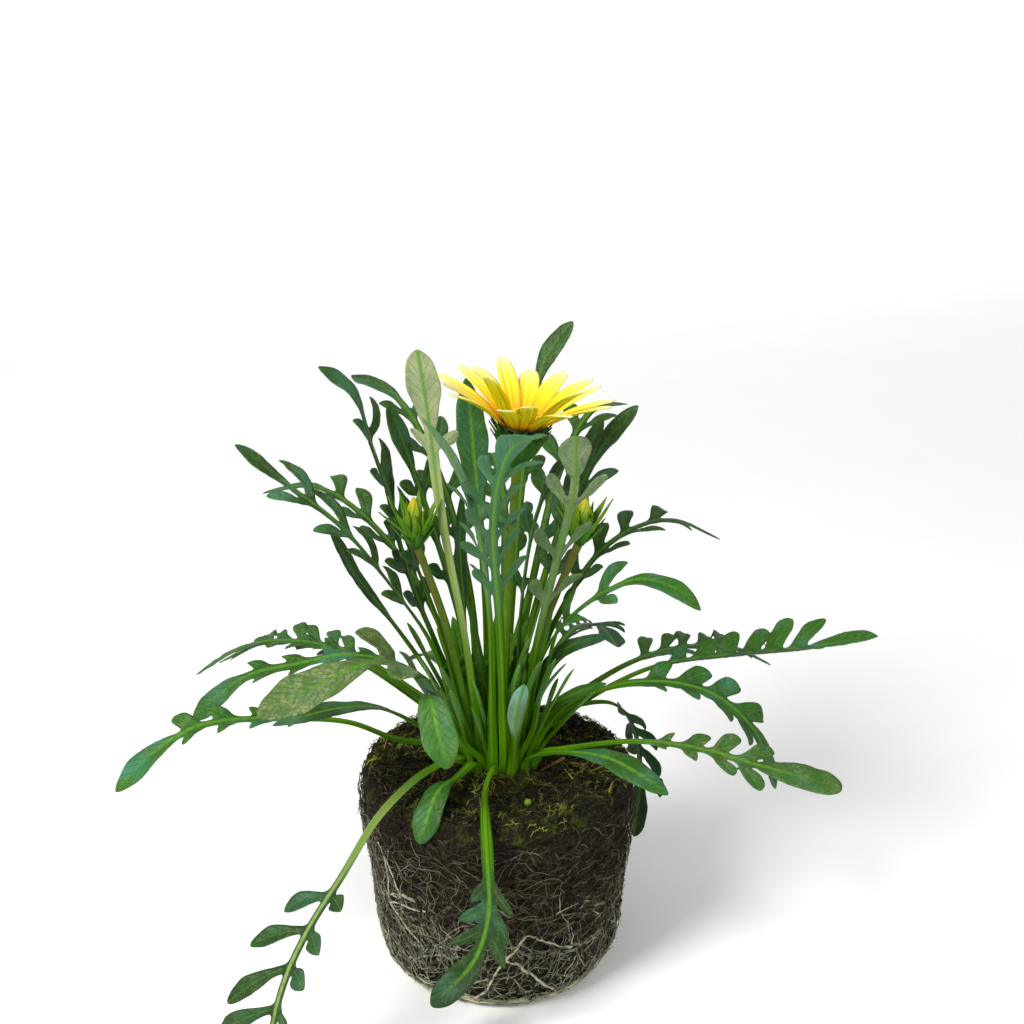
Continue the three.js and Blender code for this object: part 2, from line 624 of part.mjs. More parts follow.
function rayFloretsGeometry() {
  const hubRows = [-HUB.below, HUB.above];
  const hub = rings(2, HUB.sides, false, (row, turn) => [
    HUB.radius * Math.cos(turn),
    HUB.radius * Math.sin(turn),
    hubRows[row],
  ]);
  const rays = [];
  for (let ray = 0; ray < RAYS.count; ray++) {
    const turn = (2 * Math.PI * ray) / RAYS.count;
    const tilt = ray % 2 ? RAYS.stagger : -RAYS.stagger;
    const length = RAYS.length * (1 + 0.05 * Math.sin(4.1 * ray)) - RAYS.root;
    let [reach, height, done] = [RAYS.root, -0.4, 0];
    const rows = RAY_OUTLINE.map(([share, width]) => {
      const rise = radians(THREE.MathUtils.lerp(RAYS.steep, RAYS.flat, share) + tilt);
      reach += (share - done) * length * Math.cos(rise);
      height += (share - done) * length * Math.sin(rise);
      done = share;
      return [reach, height, RAYS.half * width, 0.5 * width];
    });
    rays.push(petal(turn, rows));
  }
  return leanHead(fused([hub, ...rays]));
}

function discFloretsGeometry() {
  const bottom = HUB.above + GAP;
  const domeRows = [[DISC.radius, 0], [DISC.radius, 0.4], [DISC.radius * 0.72, 0.8], [DISC.radius * 0.34, 1]];
  const dome = rings(domeRows.length, DISC.sides, false, (row, turn) => {
    const [radius, share] = domeRows[row];
    return [radius * Math.cos(turn), radius * Math.sin(turn), bottom + DISC.height * share];
  });
  const florets = [];
  for (let floret = 0; floret < DISC.florets; floret++) {
    const reach = (DISC.radius - 1.4 * DISC.floretHalf) * Math.sqrt((floret + 0.5) / DISC.florets);
    const turn = floret * radians(137.5);
    const cone = new THREE.ConeGeometry(DISC.floretHalf, 3, 4).rotateX(Math.PI / 2);
    const lean = 0.5 * (reach / DISC.radius);
    cone.applyMatrix4(new THREE.Matrix4().makeRotationY(lean)).rotateZ(turn);
    const height = bottom + DISC.height * (1 - 0.35 * (reach / DISC.radius) ** 2);
    florets.push(cone.translate(reach * Math.cos(turn), reach * Math.sin(turn), height));
  }
  return leanHead(fused([dome, ...florets]));
}

// A cup on a stalk, with bracts: the flower's and each bud's
function cupPieces(cup, top, bracts) {
  const rows = [[cup.foot, -1], [cup.radius * 0.72, -0.6], [cup.radius, -0.2], [cup.radius * 0.92, 0]];
  const body = rings(rows.length, cup.sides, false, (row, turn) => {
    const [radius, share] = rows[row];
    return [radius * Math.cos(turn), radius * Math.sin(turn), top + cup.height * share];
  });
  return [body, ...bracts];
}

function flowerStalkGeometry() {
  const top = -HUB.below - GAP;
  const bracts = [];
  for (let bract = 0; bract < CUP.bracts; bract++) {
    const turn = (2 * Math.PI * (bract + 0.5)) / CUP.bracts;
    const [r, z] = [CUP.radius, top - 3];
    const rows = [[r - 1.4, z - 1.5, 1.3, 0], [r + 1.6, z + 1.2, 1.1, 0], [r + 5, z + 3.6, 0, 0]];
    bracts.push(petal(turn, rows));
  }
  const head = leanHead(fused(cupPieces(CUP, top, bracts)));
  const neck = point(0, 0, top - CUP.height + 2);
  const lean = new THREE.Euler(radians(-FLOWER.leanBack), radians(FLOWER.leanRight), 0);
  neck.applyEuler(lean).add(point(...FLOWER.at));
  const way = [...neckOf(FLOWER_STALK), ...FLOWER_STALK.way.map((p) => point(...p)), neck];
  const stalk = stem(new THREE.CatmullRomCurve3(way), FLOWER_STALK.radius, 6, 12);
  return fused([stalk, head]);
}

// Each bud is built upright at the origin, then turned to its own axis and set at its place
function setBud(geometry, bud) {
  const turn = new THREE.Quaternion().setFromUnitVectors(point(0, 0, 1), point(...bud.axis).normalize());
  return geometry.applyQuaternion(turn).translate(...bud.at);
}

function budStalkGeometry(bud) {
  const bracts = [];
  for (let bract = 0; bract < BUD_CUP.bracts; bract++) {
    const turn = (2 * Math.PI * bract) / BUD_CUP.bracts;
    const [r, length] = [BUD_CUP.radius, BUD_CUP.bractLength * (bract % 2 ? 0.8 : 1)];
    const spread = bract % 2 ? 0.55 : 0.3;
    const rows = [
      [r - 1, -2.8, 1.1, 0],
      [r + 0.4 + spread * length * 0.5, length * 0.4, 0.9, 0],
      [r + 0.4 + spread * length, length * 0.85, 0, 0],
    ];
    bracts.push(petal(turn, rows));
  }
  const head = setBud(fused(cupPieces(BUD_CUP, 0, bracts)), bud);
  const neck = point(...bud.axis).normalize().multiplyScalar(1.5 - BUD_CUP.height).add(point(...bud.at));
  const way = [...neckOf(bud), ...bud.way.map((p) => point(...p)), neck];
  return fused([stem(new THREE.CatmullRomCurve3(way), 1.4, 6, 9), head]);
}

function budPetalsGeometry(bud) {
  const rows = [[2.5, 0], [2.9, 0.25], [2.4, 0.56], [1.3, 0.82], [0.4, 1]];
  const roll = rings(rows.length, 9, false, (row, turn) => {
    const [radius, share] = rows[row];
    const height = THREE.MathUtils.lerp(GAP, bud.petals, share);
    const ridged = radius * (1 + 0.12 * Math.sin(3 * turn + row));
    return [ridged * Math.cos(turn + 0.3 * row), ridged * Math.sin(turn + 0.3 * row), height];
  });
  return setBud(roll, bud);
}

// The plant
const plant = new THREE.Group();

function add(name, geometry, color, roughness = 0.6) {
  const mesh = new THREE.Mesh(geometry, new THREE.MeshStandardMaterial({ color, roughness, metalness: 0 }));
  mesh.name = name;
  plant.add(mesh);
}

add("root_ball", rootBallGeometry(), SOIL_BROWN, 0.95);
add("moss_mat", mossGeometry(), MOSS_GREEN, 0.95);
add("crown", crownGeometry(), YOUNG_GREEN);
for (const [name, leaf] of Object.entries(LEAVES)) {
  add(name, leafGeometry(leaf), name === "leaf_tall" ? FELT_GREEN : LEAF_GREEN);
}
add("flower_stalk", flowerStalkGeometry(), STALK_OLIVE);
add("ray_florets", rayFloretsGeometry(), PETAL_YELLOW, 0.5);
add("disc_florets", discFloretsGeometry(), DISC_ORANGE, 0.8);
for (const [name, bud] of Object.entries(BUDS)) {
  add(name, budStalkGeometry(bud), STALK_OLIVE);
  add(`${name}_petals`, budPetalsGeometry(bud), YOUNG_GREEN);
}

export default plant;
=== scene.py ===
# %% [markdown]
# # A gazania lifted out of its nursery pot
# A bedding gazania is a tuft of cut, felty leaves on one short crown, with daisy flowers on stalks of their
# own. Out of its pot, its roots still hold the peat in the pot's shape.
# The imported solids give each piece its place. This scene replaces each with a finer one of the same form:
# thin blades with veins, grooved stalks, a net of roots, wisps of moss. Plants follow rules of growth, so
# every form here is worked out from a few numbers with numpy, and then handed to Blender as a mesh.

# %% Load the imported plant
import math

import bpy
import numpy as np
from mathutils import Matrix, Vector, kdtree, noise


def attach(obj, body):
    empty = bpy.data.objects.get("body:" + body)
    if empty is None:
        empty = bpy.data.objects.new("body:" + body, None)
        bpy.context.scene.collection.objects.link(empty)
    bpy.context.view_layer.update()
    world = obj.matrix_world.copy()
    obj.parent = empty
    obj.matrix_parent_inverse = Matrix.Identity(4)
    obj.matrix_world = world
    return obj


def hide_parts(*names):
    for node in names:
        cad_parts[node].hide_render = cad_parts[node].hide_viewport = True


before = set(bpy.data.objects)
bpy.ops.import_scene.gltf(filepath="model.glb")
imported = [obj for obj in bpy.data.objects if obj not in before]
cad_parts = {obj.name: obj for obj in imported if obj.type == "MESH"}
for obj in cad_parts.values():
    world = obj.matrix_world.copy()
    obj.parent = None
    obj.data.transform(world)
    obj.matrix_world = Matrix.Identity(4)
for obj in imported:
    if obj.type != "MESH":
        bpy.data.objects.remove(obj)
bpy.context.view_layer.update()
print("solids:", len(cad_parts))

# %% [markdown]
# ## Floor, light and camera
# The plant stands on a pale sheet in soft studio light. A wide white sky fills the shadows, and one large
# lamp from the upper left gives the leaves their shine and the ball a soft shadow. A third lamp lights only
# the far end of the sheet, as in a studio, so that it stays white. Standard colour, with no film curve,
# keeps the greens and the yellow as clear as they are in daylight.

# %% A lamp and a camera in millimetres
MM = 0.001
SKY_STRENGTH = 0.62
CAMERA_AT = (4.97, -600, 417)
CAMERA_TIP = 67.82


def place_lamp(name, at, towards, size, power, spread=180):
    light = bpy.data.lights.new(name, "AREA")
    light.shape = "DISK"
    light.size = size * MM
    light.energy = power
    light.spread = math.radians(spread)
    lamp = bpy.data.objects.new(name, light)
    bpy.context.scene.collection.objects.link(lamp)
    lamp.location = Vector(at) * MM
    lamp.rotation_euler = (Vector(towards) - Vector(at)).to_track_quat("-Z", "Y").to_euler()


place_lamp("key_lamp", (-620, -620, 960), (0, 0, 100), 500, 17)
place_lamp("fill_lamp", (700, -500, 500), (0, 0, 120), 700, 2)
place_lamp("backdrop_lamp", (0, 2100, 1900), (0, 2300, 0), 1200, 22, spread=85)

sky = bpy.data.worlds.new("studio")
sky.use_nodes = True
background = sky.node_tree.nodes["Background"].inputs
background["Color"].default_value = (1, 1, 1, 1)
background["Strength"].default_value = SKY_STRENGTH
bpy.context.scene.world = sky
bpy.context.scene.view_settings.view_transform = "Standard"

camera = bpy.data.cameras.new("camera")
camera.sensor_width = 36
camera.lens = 67.8
camera_stand = bpy.data.objects.new("camera", camera)
camera_stand.location = Vector(CAMERA_AT) * MM
camera_stand.rotation_euler = (math.radians(CAMERA_TIP), 0, 0)
bpy.context.scene.collection.objects.link(camera_stand)
bpy.context.scene.camera = camera_stand
print("lamps:", len(bpy.data.lights), "camera:", round(camera.lens, 1), "mm lens")

# %% [markdown]
# ## Paint
# Every finish is a network of shader nodes that reads the place on the piece and numbers stored on its
# points, such as how far along a leaf the point lies. This small class keeps such networks short to write:
# each call adds one node and gives back its output. Numbers that are the same all over go straight onto
# the shader's own sockets.

# %% The Paint class


def srgb(red, green, sheen_patches):
    """A colour as a painter reads it off a screen, 0 to 255, as the linear light that a shader adds up."""
    shares = [c / 255 for c in (red, green, sheen_patches)]
    return tuple(s / 12.92 if s < 0.04 else ((s + 0.055) / 1.055) ** 2.4 for s in shares) + (1.0,)


class Paint:
    def __init__(self, name, **fixed):
        self.material = bpy.data.materials.new(name)
        self.material.use_nodes = True
        self.tree = self.material.node_tree
        self.shader = self.tree.nodes["Principled BSDF"]
        for socket, value in fixed.items():
            self.shader.inputs[socket.replace("_", " ")].default_value = value
        self.place = self.add("TexCoord").outputs["Object"]

    def add(self, kind, inputs=(), **settings):
        node = self.tree.nodes.new("ShaderNode" + kind)
        for key, value in settings.items():
            setattr(node, key, value)
        for key, value in dict(inputs).items():
            if isinstance(value, bpy.types.NodeSocket):
                self.tree.links.new(value, node.inputs[key])
            else:
                node.inputs[key].default_value = value
        return node

    def math(self, operation, first, second=0.0, third=0.0):
        inputs = {0: first, 1: second, 2: third}
        return self.add("Math", inputs, operation=operation).outputs[0]

    def times(self, first, second, plus=0.0):
        return self.math("MULTIPLY_ADD", first, second, plus)

    def stored(self, name):
        return self.add("Attribute", attribute_name=name).outputs["Fac"]

    def stored_pair(self, name):
        return self.add("Attribute", attribute_name=name).outputs["Vector"]

    def split(self, vector):
        return self.add("SeparateXYZ", {0: vector}).outputs

    def scaled(self, vector, scale):
        inputs = {0: vector, 1: scale}
        return self.add("VectorMath", inputs, operation="MULTIPLY").outputs[0]

    def cloud(self, size, at=None, detail=3.0, rough=0.55):
        """Soft noise from 0 to 1 whose lumps are about size millimetres."""
        scale = 1 / (size * MM) if at is None else 1 / size
        inputs = {"Vector": at or self.place, "Scale": scale, "Detail": detail, "Roughness": rough}
        return self.add("TexNoise", inputs).outputs["Fac"]

    def band(self, value, low, high):
        """0 below low, 1 above high, and smooth between. low may be above high, which turns it over."""
        inputs = {"Value": value, "From Min": low, "From Max": high}
        return self.add("MapRange", inputs, interpolation_type="SMOOTHSTEP").outputs["Result"]

    def mix(self, share, first, second, how="MIX"):
        inputs = {0: share, 6: first, 7: second}
        return self.add("Mix", inputs, data_type="RGBA", blend_type=how).outputs[2]

    def tint(self, colour, share, strength, towards):
        """Draws a colour towards another, by a share of the strength."""
        return self.mix(self.times(share, strength), colour, towards)

    def ramp(self, value, stops):
        """A colour read off a scale of stops, each a place from 0 to 1 and a colour from 0 to 255."""
        node = self.add("ValToRGB", {0: value})
        elements = node.color_ramp.elements
        while len(elements) < len(stops):
            elements.new(0.5)
        for element, (place, *colour) in zip(elements, stops):
            element.position = place
            element.color = srgb(*colour)
        return node.outputs["Color"]

    def finish(self, colour, height=None, rise=0.2, **linked):
        """Joins colour and relief, up to rise millimetres, to the shader, with any other varied sockets."""
        self.tree.links.new(colour, self.shader.inputs["Base Color"])
        for socket, value in linked.items():
            self.tree.links.new(value, self.shader.inputs[socket.replace("_", " ")])
        if height is not None:
            bump = self.add("Bump", {"Height": height, "Strength": 1.0, "Distance": rise * MM})
            self.tree.links.new(bump.outputs["Normal"], self.shader.inputs["Normal"])
        return self.material


# %% The pale floor
FLOOR_METRES = 16
floor_paint = Paint("floor_sheet", Roughness=0.8, Specular_IOR_Level=0.2)
grain = floor_paint.cloud(60)
floor_paint.finish(floor_paint.mix(grain, srgb(246, 246, 246), srgb(250, 250, 249)))
bpy.ops.mesh.primitive_plane_add(size=FLOOR_METRES)
floor = bpy.context.object
floor.name = "floor"
floor.data.materials.append(floor_paint.material)
print("floor laid")

# %% [markdown]
# ## Curves and sheets
# A leaf's rib, a root and a stalk are all smooth curves through a few points, read by the distance along
# them. A blade is two sheets of points with a rim between them, a root a ring of points carried along its
# curve. These helpers make the two, and gather the parts of one piece into one mesh with the numbers that
# its paint reads.

# %% Small sums


def unit(vectors):
    return vectors / np.maximum(np.linalg.norm(vectors, axis=-1, keepdims=True), 1e-9)


def ease(value, low=0.0, high=1.0):
    share = np.clip((value - low) / (high - low), 0, 1)
    return share * share * (3 - 2 * share)


def lerp(first, second, share):
    return first + (second - first) * share


def outward(turn):
    """The level way out of the plant's middle, at a turn in radians."""
    return np.array([math.cos(turn), math.sin(turn), 0])


def round_turns(sides):
    """The turns, in radians, of points spaced evenly round a ring."""
    return 2 * np.pi * np.arange(sides) / sides


def lumps(points, size, octaves=3):
    """Smooth noise at each point, about -1 to 1, with lumps of the given size."""
    scaled = np.asarray(points, float) / size
    return np.array([noise.fractal(Vector(p), 0.9, 2.1, octaves) for p in scaled])


# %% A smooth curve through points


class Route:
    """A centripetal curve: it swings evenly through points that lie unevenly far apart."""

    def __init__(self, points):
        inner = np.array(points, float)
        ends = [[2 * inner[0] - inner[1]], inner, [2 * inner[-1] - inner[-2]]]
        p0, p1, p2, p3 = (np.vstack(ends)[i : len(inner) - 1 + i] for i in range(4))
        spans = ((p0, p1), (p1, p2), (p2, p3))
        d0, d1, d2 = (np.linalg.norm(b - a, axis=1)[:, None] ** 0.5 for a, b in spans)
        start = ((p1 - p0) / d0 - (p2 - p0) / (d0 + d1) + (p2 - p1) / d1) * d1
        stop = ((p2 - p1) / d1 - (p3 - p1) / (d1 + d2) + (p3 - p2) / d2) * d1
        self.cubic = (p1, start, 3 * (p2 - p1) - 2 * start - stop, 2 * (p1 - p2) + start + stop)
        self.spans = len(inner) - 1
        self.times = np.linspace(0, self.spans, 401)
        steps = np.linalg.norm(np.diff(self.read(self.times)[0], axis=0), axis=1)
        self.reached = np.concatenate([[0], np.cumsum(steps)])
        self.length = self.reached[-1]

    def read(self, times):
        span = np.clip(np.floor(times).astype(int), 0, self.spans - 1)
        w = (times - span)[:, None]
        c0, c1, c2, c3 = (c[span] for c in self.cubic)
        return c0 + w * (c1 + w * (c2 + w * c3)), c1 + w * (2 * c2 + 3 * w * c3)

    def at(self, distances):
        """Points of the curve and its directions there. Below 0 it runs on straight down, into the soil."""
        distances = np.atleast_1d(np.asarray(distances, float))
        inside = np.clip(distances, 0, self.length)
        points, directions = self.read(np.interp(inside, self.reached, self.times))
        return points + (distances - inside)[:, None] * np.array([0, 0, 1.0]), unit(directions)


# %% Sheets and tubes


def weave(rows, columns, closed=False):
    """Faces of a net of rows by columns of points. closed joins its last column to its first."""
    across = columns if closed else columns - 1
    row, column = np.meshgrid(np.arange(rows - 1), np.arange(across), indexing="ij")
    row, column = row.ravel(), column.ravel()
    right = (column + 1) % columns
    corners = [row * columns + column, (row + 1) * columns + column, (row + 1) * columns + right]
    return np.stack(corners + [row * columns + right], 1)


def shell(upper, lower):
    """A thin blade: an upper and a lower net of points, joined round their rim."""
    rows, columns = upper.shape[:2]
    count = rows * columns
    faces = weave(rows, columns)
    index = np.arange(count).reshape(rows, columns)
    rim = np.concatenate([index[0, :-1], index[:-1, -1], index[-1, :0:-1], index[:0:-1, 0]])
    after = np.roll(rim, -1)
    walls = np.stack([rim, after, after + count, rim + count], 1)
    points = np.concatenate([upper.reshape(-1, 3), lower.reshape(-1, 3)])
    return points, np.concatenate([faces, faces[:, ::-1] + count, walls])


def tube(points, radii, sides, beside=(0, 0, 1)):
    """A closed round body along points. beside is a way, or one for each point, that its rings start near."""
    points = np.asarray(points, float)
    count = len(points)
    radii = np.broadcast_to(radii, count)[:, None]
    along = unit(np.gradient(points, axis=0))
    across = unit(np.cross(along, np.broadcast_to(beside, points.shape)))
    up = np.cross(across, along)
    turns = round_turns(sides)
    rings = [points + radii * (math.cos(t) * across + math.sin(t) * up) for t in turns]
    body = np.stack(rings, 1).reshape(-1, 3)
    body = np.vstack([body, points[0], points[-1]])
    first = np.arange(sides)
    last = first + (count - 1) * sides
    start = np.stack([first, np.roll(first, -1), np.roll(first, -1), np.full(sides, count * sides)], 1)
    stop = np.stack([np.roll(last, -1), last, last, np.full(sides, count * sides + 1)], 1)
    return body, np.concatenate([weave(count, sides, True), start, stop])


def turned(profile, sides):
    """Rings of points round an upright axis, one for each (reach, height) of a profile."""
    turns = round_turns(sides)
    return np.concatenate([
        np.stack([reach * np.cos(turns), reach * np.sin(turns), np.full(sides, height)], 1)
        for reach, height in profile
    ])


# %% A piece and its parts


class Piece:
    """Gathers parts into one mesh. Each part brings points, faces, a paint's number and stored numbers."""

    def __init__(self, name, slot, paints):
        self.name, self.slot, self.paints = name, slot, paints
        self.points, self.faces, self.which, self.stored, self.count = [], [], [], {}, 0

    def add(self, points, faces, paint=0, **stored):
        self.points.append(points)
        self.faces.append(np.asarray(faces) + self.count)
        self.which.append(np.broadcast_to(paint, len(faces)))
        for key, value in stored.items():
            value = np.asarray(value, float)
            shape = (len(points), 3) if value.ndim and value.shape[-1] == 3 else (len(points),)
            self.stored.setdefault(key, []).append(np.broadcast_to(value, shape))
        self.count += len(points)

    def make(self, replaces=None):
        """Welds points that coincide, as at a pole, and leaves out the faces that this closes up."""
        mesh = bpy.data.meshes.new(self.name)
        points = np.concatenate(self.points)
        keys = np.round(points * 2000).astype(np.int64)
        _, first, welded = np.unique(keys, axis=0, return_index=True, return_inverse=True)
        corners = welded.reshape(-1)[np.concatenate(self.faces)].tolist()
        slim = [[c for i, c in enumerate(f) if c != f[i - 1]] for f in corners]
        kept = [f for f in slim if len(f) > 2]
        which = np.concatenate(self.which)[[len(f) > 2 for f in slim]]
        mesh.from_pydata((points[first] * MM).tolist(), [], kept)
        mesh.polygons.foreach_set("material_index", which.astype(np.int32))
        mesh.polygons.foreach_set("use_smooth", np.ones(len(kept), bool))
        for key, parts in self.stored.items():
            values = np.concatenate(parts)[first].astype(np.float32)
            kind, field = ("FLOAT_VECTOR", "vector") if values.ndim == 2 else ("FLOAT", "value")
            mesh.attributes.new(key, kind, "POINT").data.foreach_set(field, values.ravel())
        for paint in self.paints:
            mesh.materials.append(paint)
        piece = bpy.data.objects.new(self.name, mesh)
        bpy.context.scene.collection.objects.link(piece)
        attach(piece, "root")
        if replaces:
            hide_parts(replaces)
        made[self.name] = sum(len(f) - 2 for f in kept)
        print(self.name, made[self.name], "triangles")


made = {}
dice = np.random.default_rng(7)

# %% Draws that come back often


def any_turn():
    return dice.uniform(0, 2 * math.pi)


def either_way():
    """Turns a heading right round in half the draws."""
    return math.pi if dice.random() < 0.5 else 0


def drawn_spot(reach, inner):
    """A spot on the top of the ball. inner is the share of its area, in the middle, that stays free."""
    turn, far = any_turn(), reach * math.sqrt(dice.uniform(inner, 1))
    return np.array([far * math.cos(turn), far * math.sin(turn)])


# %% [markdown]
# ## Leaf paint
# A gazania leaf is smooth and dark above, and felted with pale hair below. A blue sheen is painted into the
# upper side's colour in patches. The stalk and rib are bright yellow-green on both sides. The paint reads
# where each point lies on the leaf laid flat, so that the veins branch off the rib and the stalk's grooves
# run along it. Where the young felt hasn't worn off, the upper side is mottled with pale specks.

# %% Numbers that both sides of a leaf read


def read_leaf(paint):
    """Where a point lies: on the flat leaf, on its lobe, up its stalk, and the leaf's own shade."""
    up_rib, sideways, _ = paint.split(paint.stored_pair("flat"))
    up_lobe, off_vein, lobe_long = paint.split(paint.stored_pair("lobe"))
    beside_rib = paint.math("ABSOLUTE", sideways)
    beside_vein = paint.math("ABSOLUTE", off_vein)
    inside_lobe = paint.times(paint.band(up_lobe, 0.0, 1.5), paint.band(lobe_long, 0.5, 1.0))
    waver = paint.times(paint.cloud(4, detail=2.0), 4.5)
    rib_wave = paint.math("SUBTRACT", up_rib, paint.times(beside_rib, 1.5, waver))
    lobe_wave = paint.math("SUBTRACT", up_lobe, paint.times(beside_vein, 1.3, waver))
    wave = paint.add("Mix", {0: inside_lobe, 2: rib_wave, 3: lobe_wave}, data_type="FLOAT").outputs[0]
    step = paint.math("PINGPONG", wave, 1.9)
    side_veins = paint.band(step, 0.28, 0.0)
    blade = paint.band(paint.stored("along"), 0.8, 1.1)
    midrib = paint.band(beside_rib, 0.9, 0.4)
    lobe_vein = paint.times(paint.band(beside_vein, 0.34, 0.12), inside_lobe)
    return {
        "flat": paint.stored_pair("flat"),
        "side_veins": paint.times(side_veins, blade),
        "blade": blade,
        "midrib": midrib,
        "lobe_vein": lobe_vein,
        "tone": paint.stored("tone"),
        "felt": paint.stored("felt"),
        "along": paint.stored("along"),
        "bleached": paint.band(paint.stored("pale"), 0.78, 1.0),
        "fresh": paint.band(paint.stored("felt"), 0.1, 0.0),
    }


def stalk_colour(paint, leaf):
    """Bright green with fine lines along the stalk, and yellower where it comes out of the soil."""
    lines = paint.cloud(1.0, at=paint.scaled(leaf["flat"], (0.03, 2.2, 1.0)), detail=2.0)
    shaded = paint.mix(paint.band(lines, 0.32, 0.72), srgb(30, 74, 0), srgb(68, 114, 4))
    foot = paint.band(leaf["along"], 0.6, 0.0)
    shaded = paint.tint(shaded, foot, 0.8, srgb(86, 146, 0))
    bleached = paint.times(leaf["bleached"], paint.band(leaf["along"], 0.2, 0.7))
    shaded = paint.mix(bleached, shaded, srgb(156, 170, 108))
    return paint.tint(shaded, leaf["midrib"], 0.5, srgb(98, 130, 30))


# %% The upper side
upper_side = Paint(
    "leaf_upper", Roughness=0.48, Subsurface_Weight=0.05, Subsurface_Scale=0.0015,
)
leaf = read_leaf(upper_side)
shade = upper_side.math("ADD", upper_side.times(upper_side.cloud(9), 0.6), leaf["tone"])
green = upper_side.ramp(shade, [
    (0.15, 9, 34, 8), (0.45, 20, 60, 12), (0.72, 36, 90, 16), (1.0, 60, 114, 28),
])
# The blue-green drawn into the upper side here, in patches, is a painted sheen. It is stronger on leaves with
# a larger stored sheen number.
sheen_patches = upper_side.band(upper_side.cloud(14, detail=1.0), 0.45, 0.75)
sheen_patches = upper_side.times(sheen_patches, upper_side.math("ADD", 0.25, upper_side.stored("bloom")))
green = upper_side.mix(sheen_patches, green, srgb(48, 112, 88))
green = upper_side.tint(green, leaf["felt"], 0.28, srgb(96, 114, 62))
specks = upper_side.band(upper_side.cloud(1.1, detail=4.0, rough=0.7), 0.42, 0.66)
patches = upper_side.band(upper_side.cloud(7, detail=2.0), 0.3, 0.62)
worn = upper_side.times(upper_side.times(specks, patches), leaf["felt"])
green = upper_side.mix(worn, green, srgb(120, 128, 82))
green = upper_side.tint(green, leaf["side_veins"], 0.18, srgb(66, 106, 36))
green = upper_side.tint(green, leaf["lobe_vein"], 0.5, srgb(72, 116, 38))
green = upper_side.tint(green, leaf["fresh"], 0.45, srgb(88, 144, 30))
stalk = stalk_colour(upper_side, leaf)
fade = upper_side.times(leaf["midrib"], upper_side.band(leaf["along"], 2.02, 1.5))
rib = upper_side.mix(leaf["bleached"], srgb(80, 128, 28), srgb(166, 180, 118))
green = upper_side.mix(upper_side.times(fade, 0.85), green, rib)
colour = upper_side.mix(leaf["blade"], stalk, green)
puckers = upper_side.times(leaf["side_veins"], -0.6, upper_side.cloud(1.8, detail=2.0))
fuzz = upper_side.times(upper_side.cloud(0.3, detail=1.0), 0.16, puckers)
relief = upper_side.times(leaf["lobe_vein"], -0.4, fuzz)
shine = upper_side.times(leaf["blade"], 0.13, 0.04)
LEAF_UPPER = upper_side.finish(colour, relief, 0.3, Specular_IOR_Level=shine)

# %% The felted underside
under_side = Paint(
    "leaf_under", Roughness=0.8, Sheen_Roughness=0.5, Sheen_Tint=(0.8, 0.95, 0.9, 1),
    Subsurface_Weight=0.05, Subsurface_Scale=0.0015,
)
leaf = read_leaf(under_side)
broad_cloud = under_side.times(under_side.cloud(6, detail=2.0), 0.4, -0.12)
cloudy = under_side.times(under_side.cloud(0.8, detail=4.0, rough=0.75), 0.5, broad_cloud)
cover = under_side.times(under_side.stored("pale"), 0.62, cloudy)
felt = under_side.ramp(cover, [
    (0.25, 20, 58, 18), (0.48, 44, 86, 42), (0.72, 90, 112, 70), (1.0, 150, 158, 112),
])
# Painted sheen below: the felt is drawn towards a blue-green, more towards the tip, as far as each leaf's
# stored sheen number gives.
high = under_side.times(under_side.band(leaf["along"], 1.45, 1.9), 0.34, 0.13)
not_pale = under_side.band(under_side.stored("pale"), 0.93, 0.8)
grown = under_side.times(under_side.band(leaf["along"], 1.7, 1.5), not_pale)
felt = under_side.tint(felt, grown, 0.4, srgb(40, 84, 38))
sheen_share = under_side.times(under_side.stored("bloom"), high)
sheen_colour = under_side.mix(under_side.stored("pale"), srgb(44, 122, 66), srgb(122, 172, 152))
felt = under_side.mix(sheen_share, felt, sheen_colour)
felt = under_side.tint(felt, leaf["fresh"], 0.6, srgb(76, 130, 22))
felt = under_side.tint(felt, leaf["side_veins"], 0.22, srgb(60, 98, 40))
felt = under_side.tint(felt, leaf["lobe_vein"], 0.6, srgb(66, 108, 32))
felt = under_side.tint(felt, leaf["midrib"], 0.8, srgb(84, 132, 34))
colour = under_side.mix(leaf["blade"], stalk_colour(under_side, leaf), felt)
hair = under_side.times(leaf["side_veins"], 0.5, under_side.cloud(0.35, detail=3.0))
shine = under_side.times(leaf["blade"], 0.09, 0.03)
fuzz = under_side.times(leaf["blade"], 0.11, 0.01)
LEAF_UNDER = under_side.finish(colour, hair, 0.3, Specular_IOR_Level=shine, Sheen_Weight=fuzz)
print("leaf paint mixed")

# %% [markdown]
# ## Leaves
# Each leaf stands in one of five rings of feet on the crown, rises out of the tuft, and arches over. Its
# stalk widens into a blade that is cut into pairs of spoon-shaped lobes, or toothed, or left entire, and
# ends in a larger lobe.
# The outline is drawn on the leaf laid flat, as the edge of a strip and its lobes melted into each other.
# A net of points is cut to that edge, thickened over the ribs, folded up at the sides, and bent along the
# curve of the rib. That keeps the round sinuses and the thin even edge of a real leaf, which are hard to
# get by pushing a few points about.

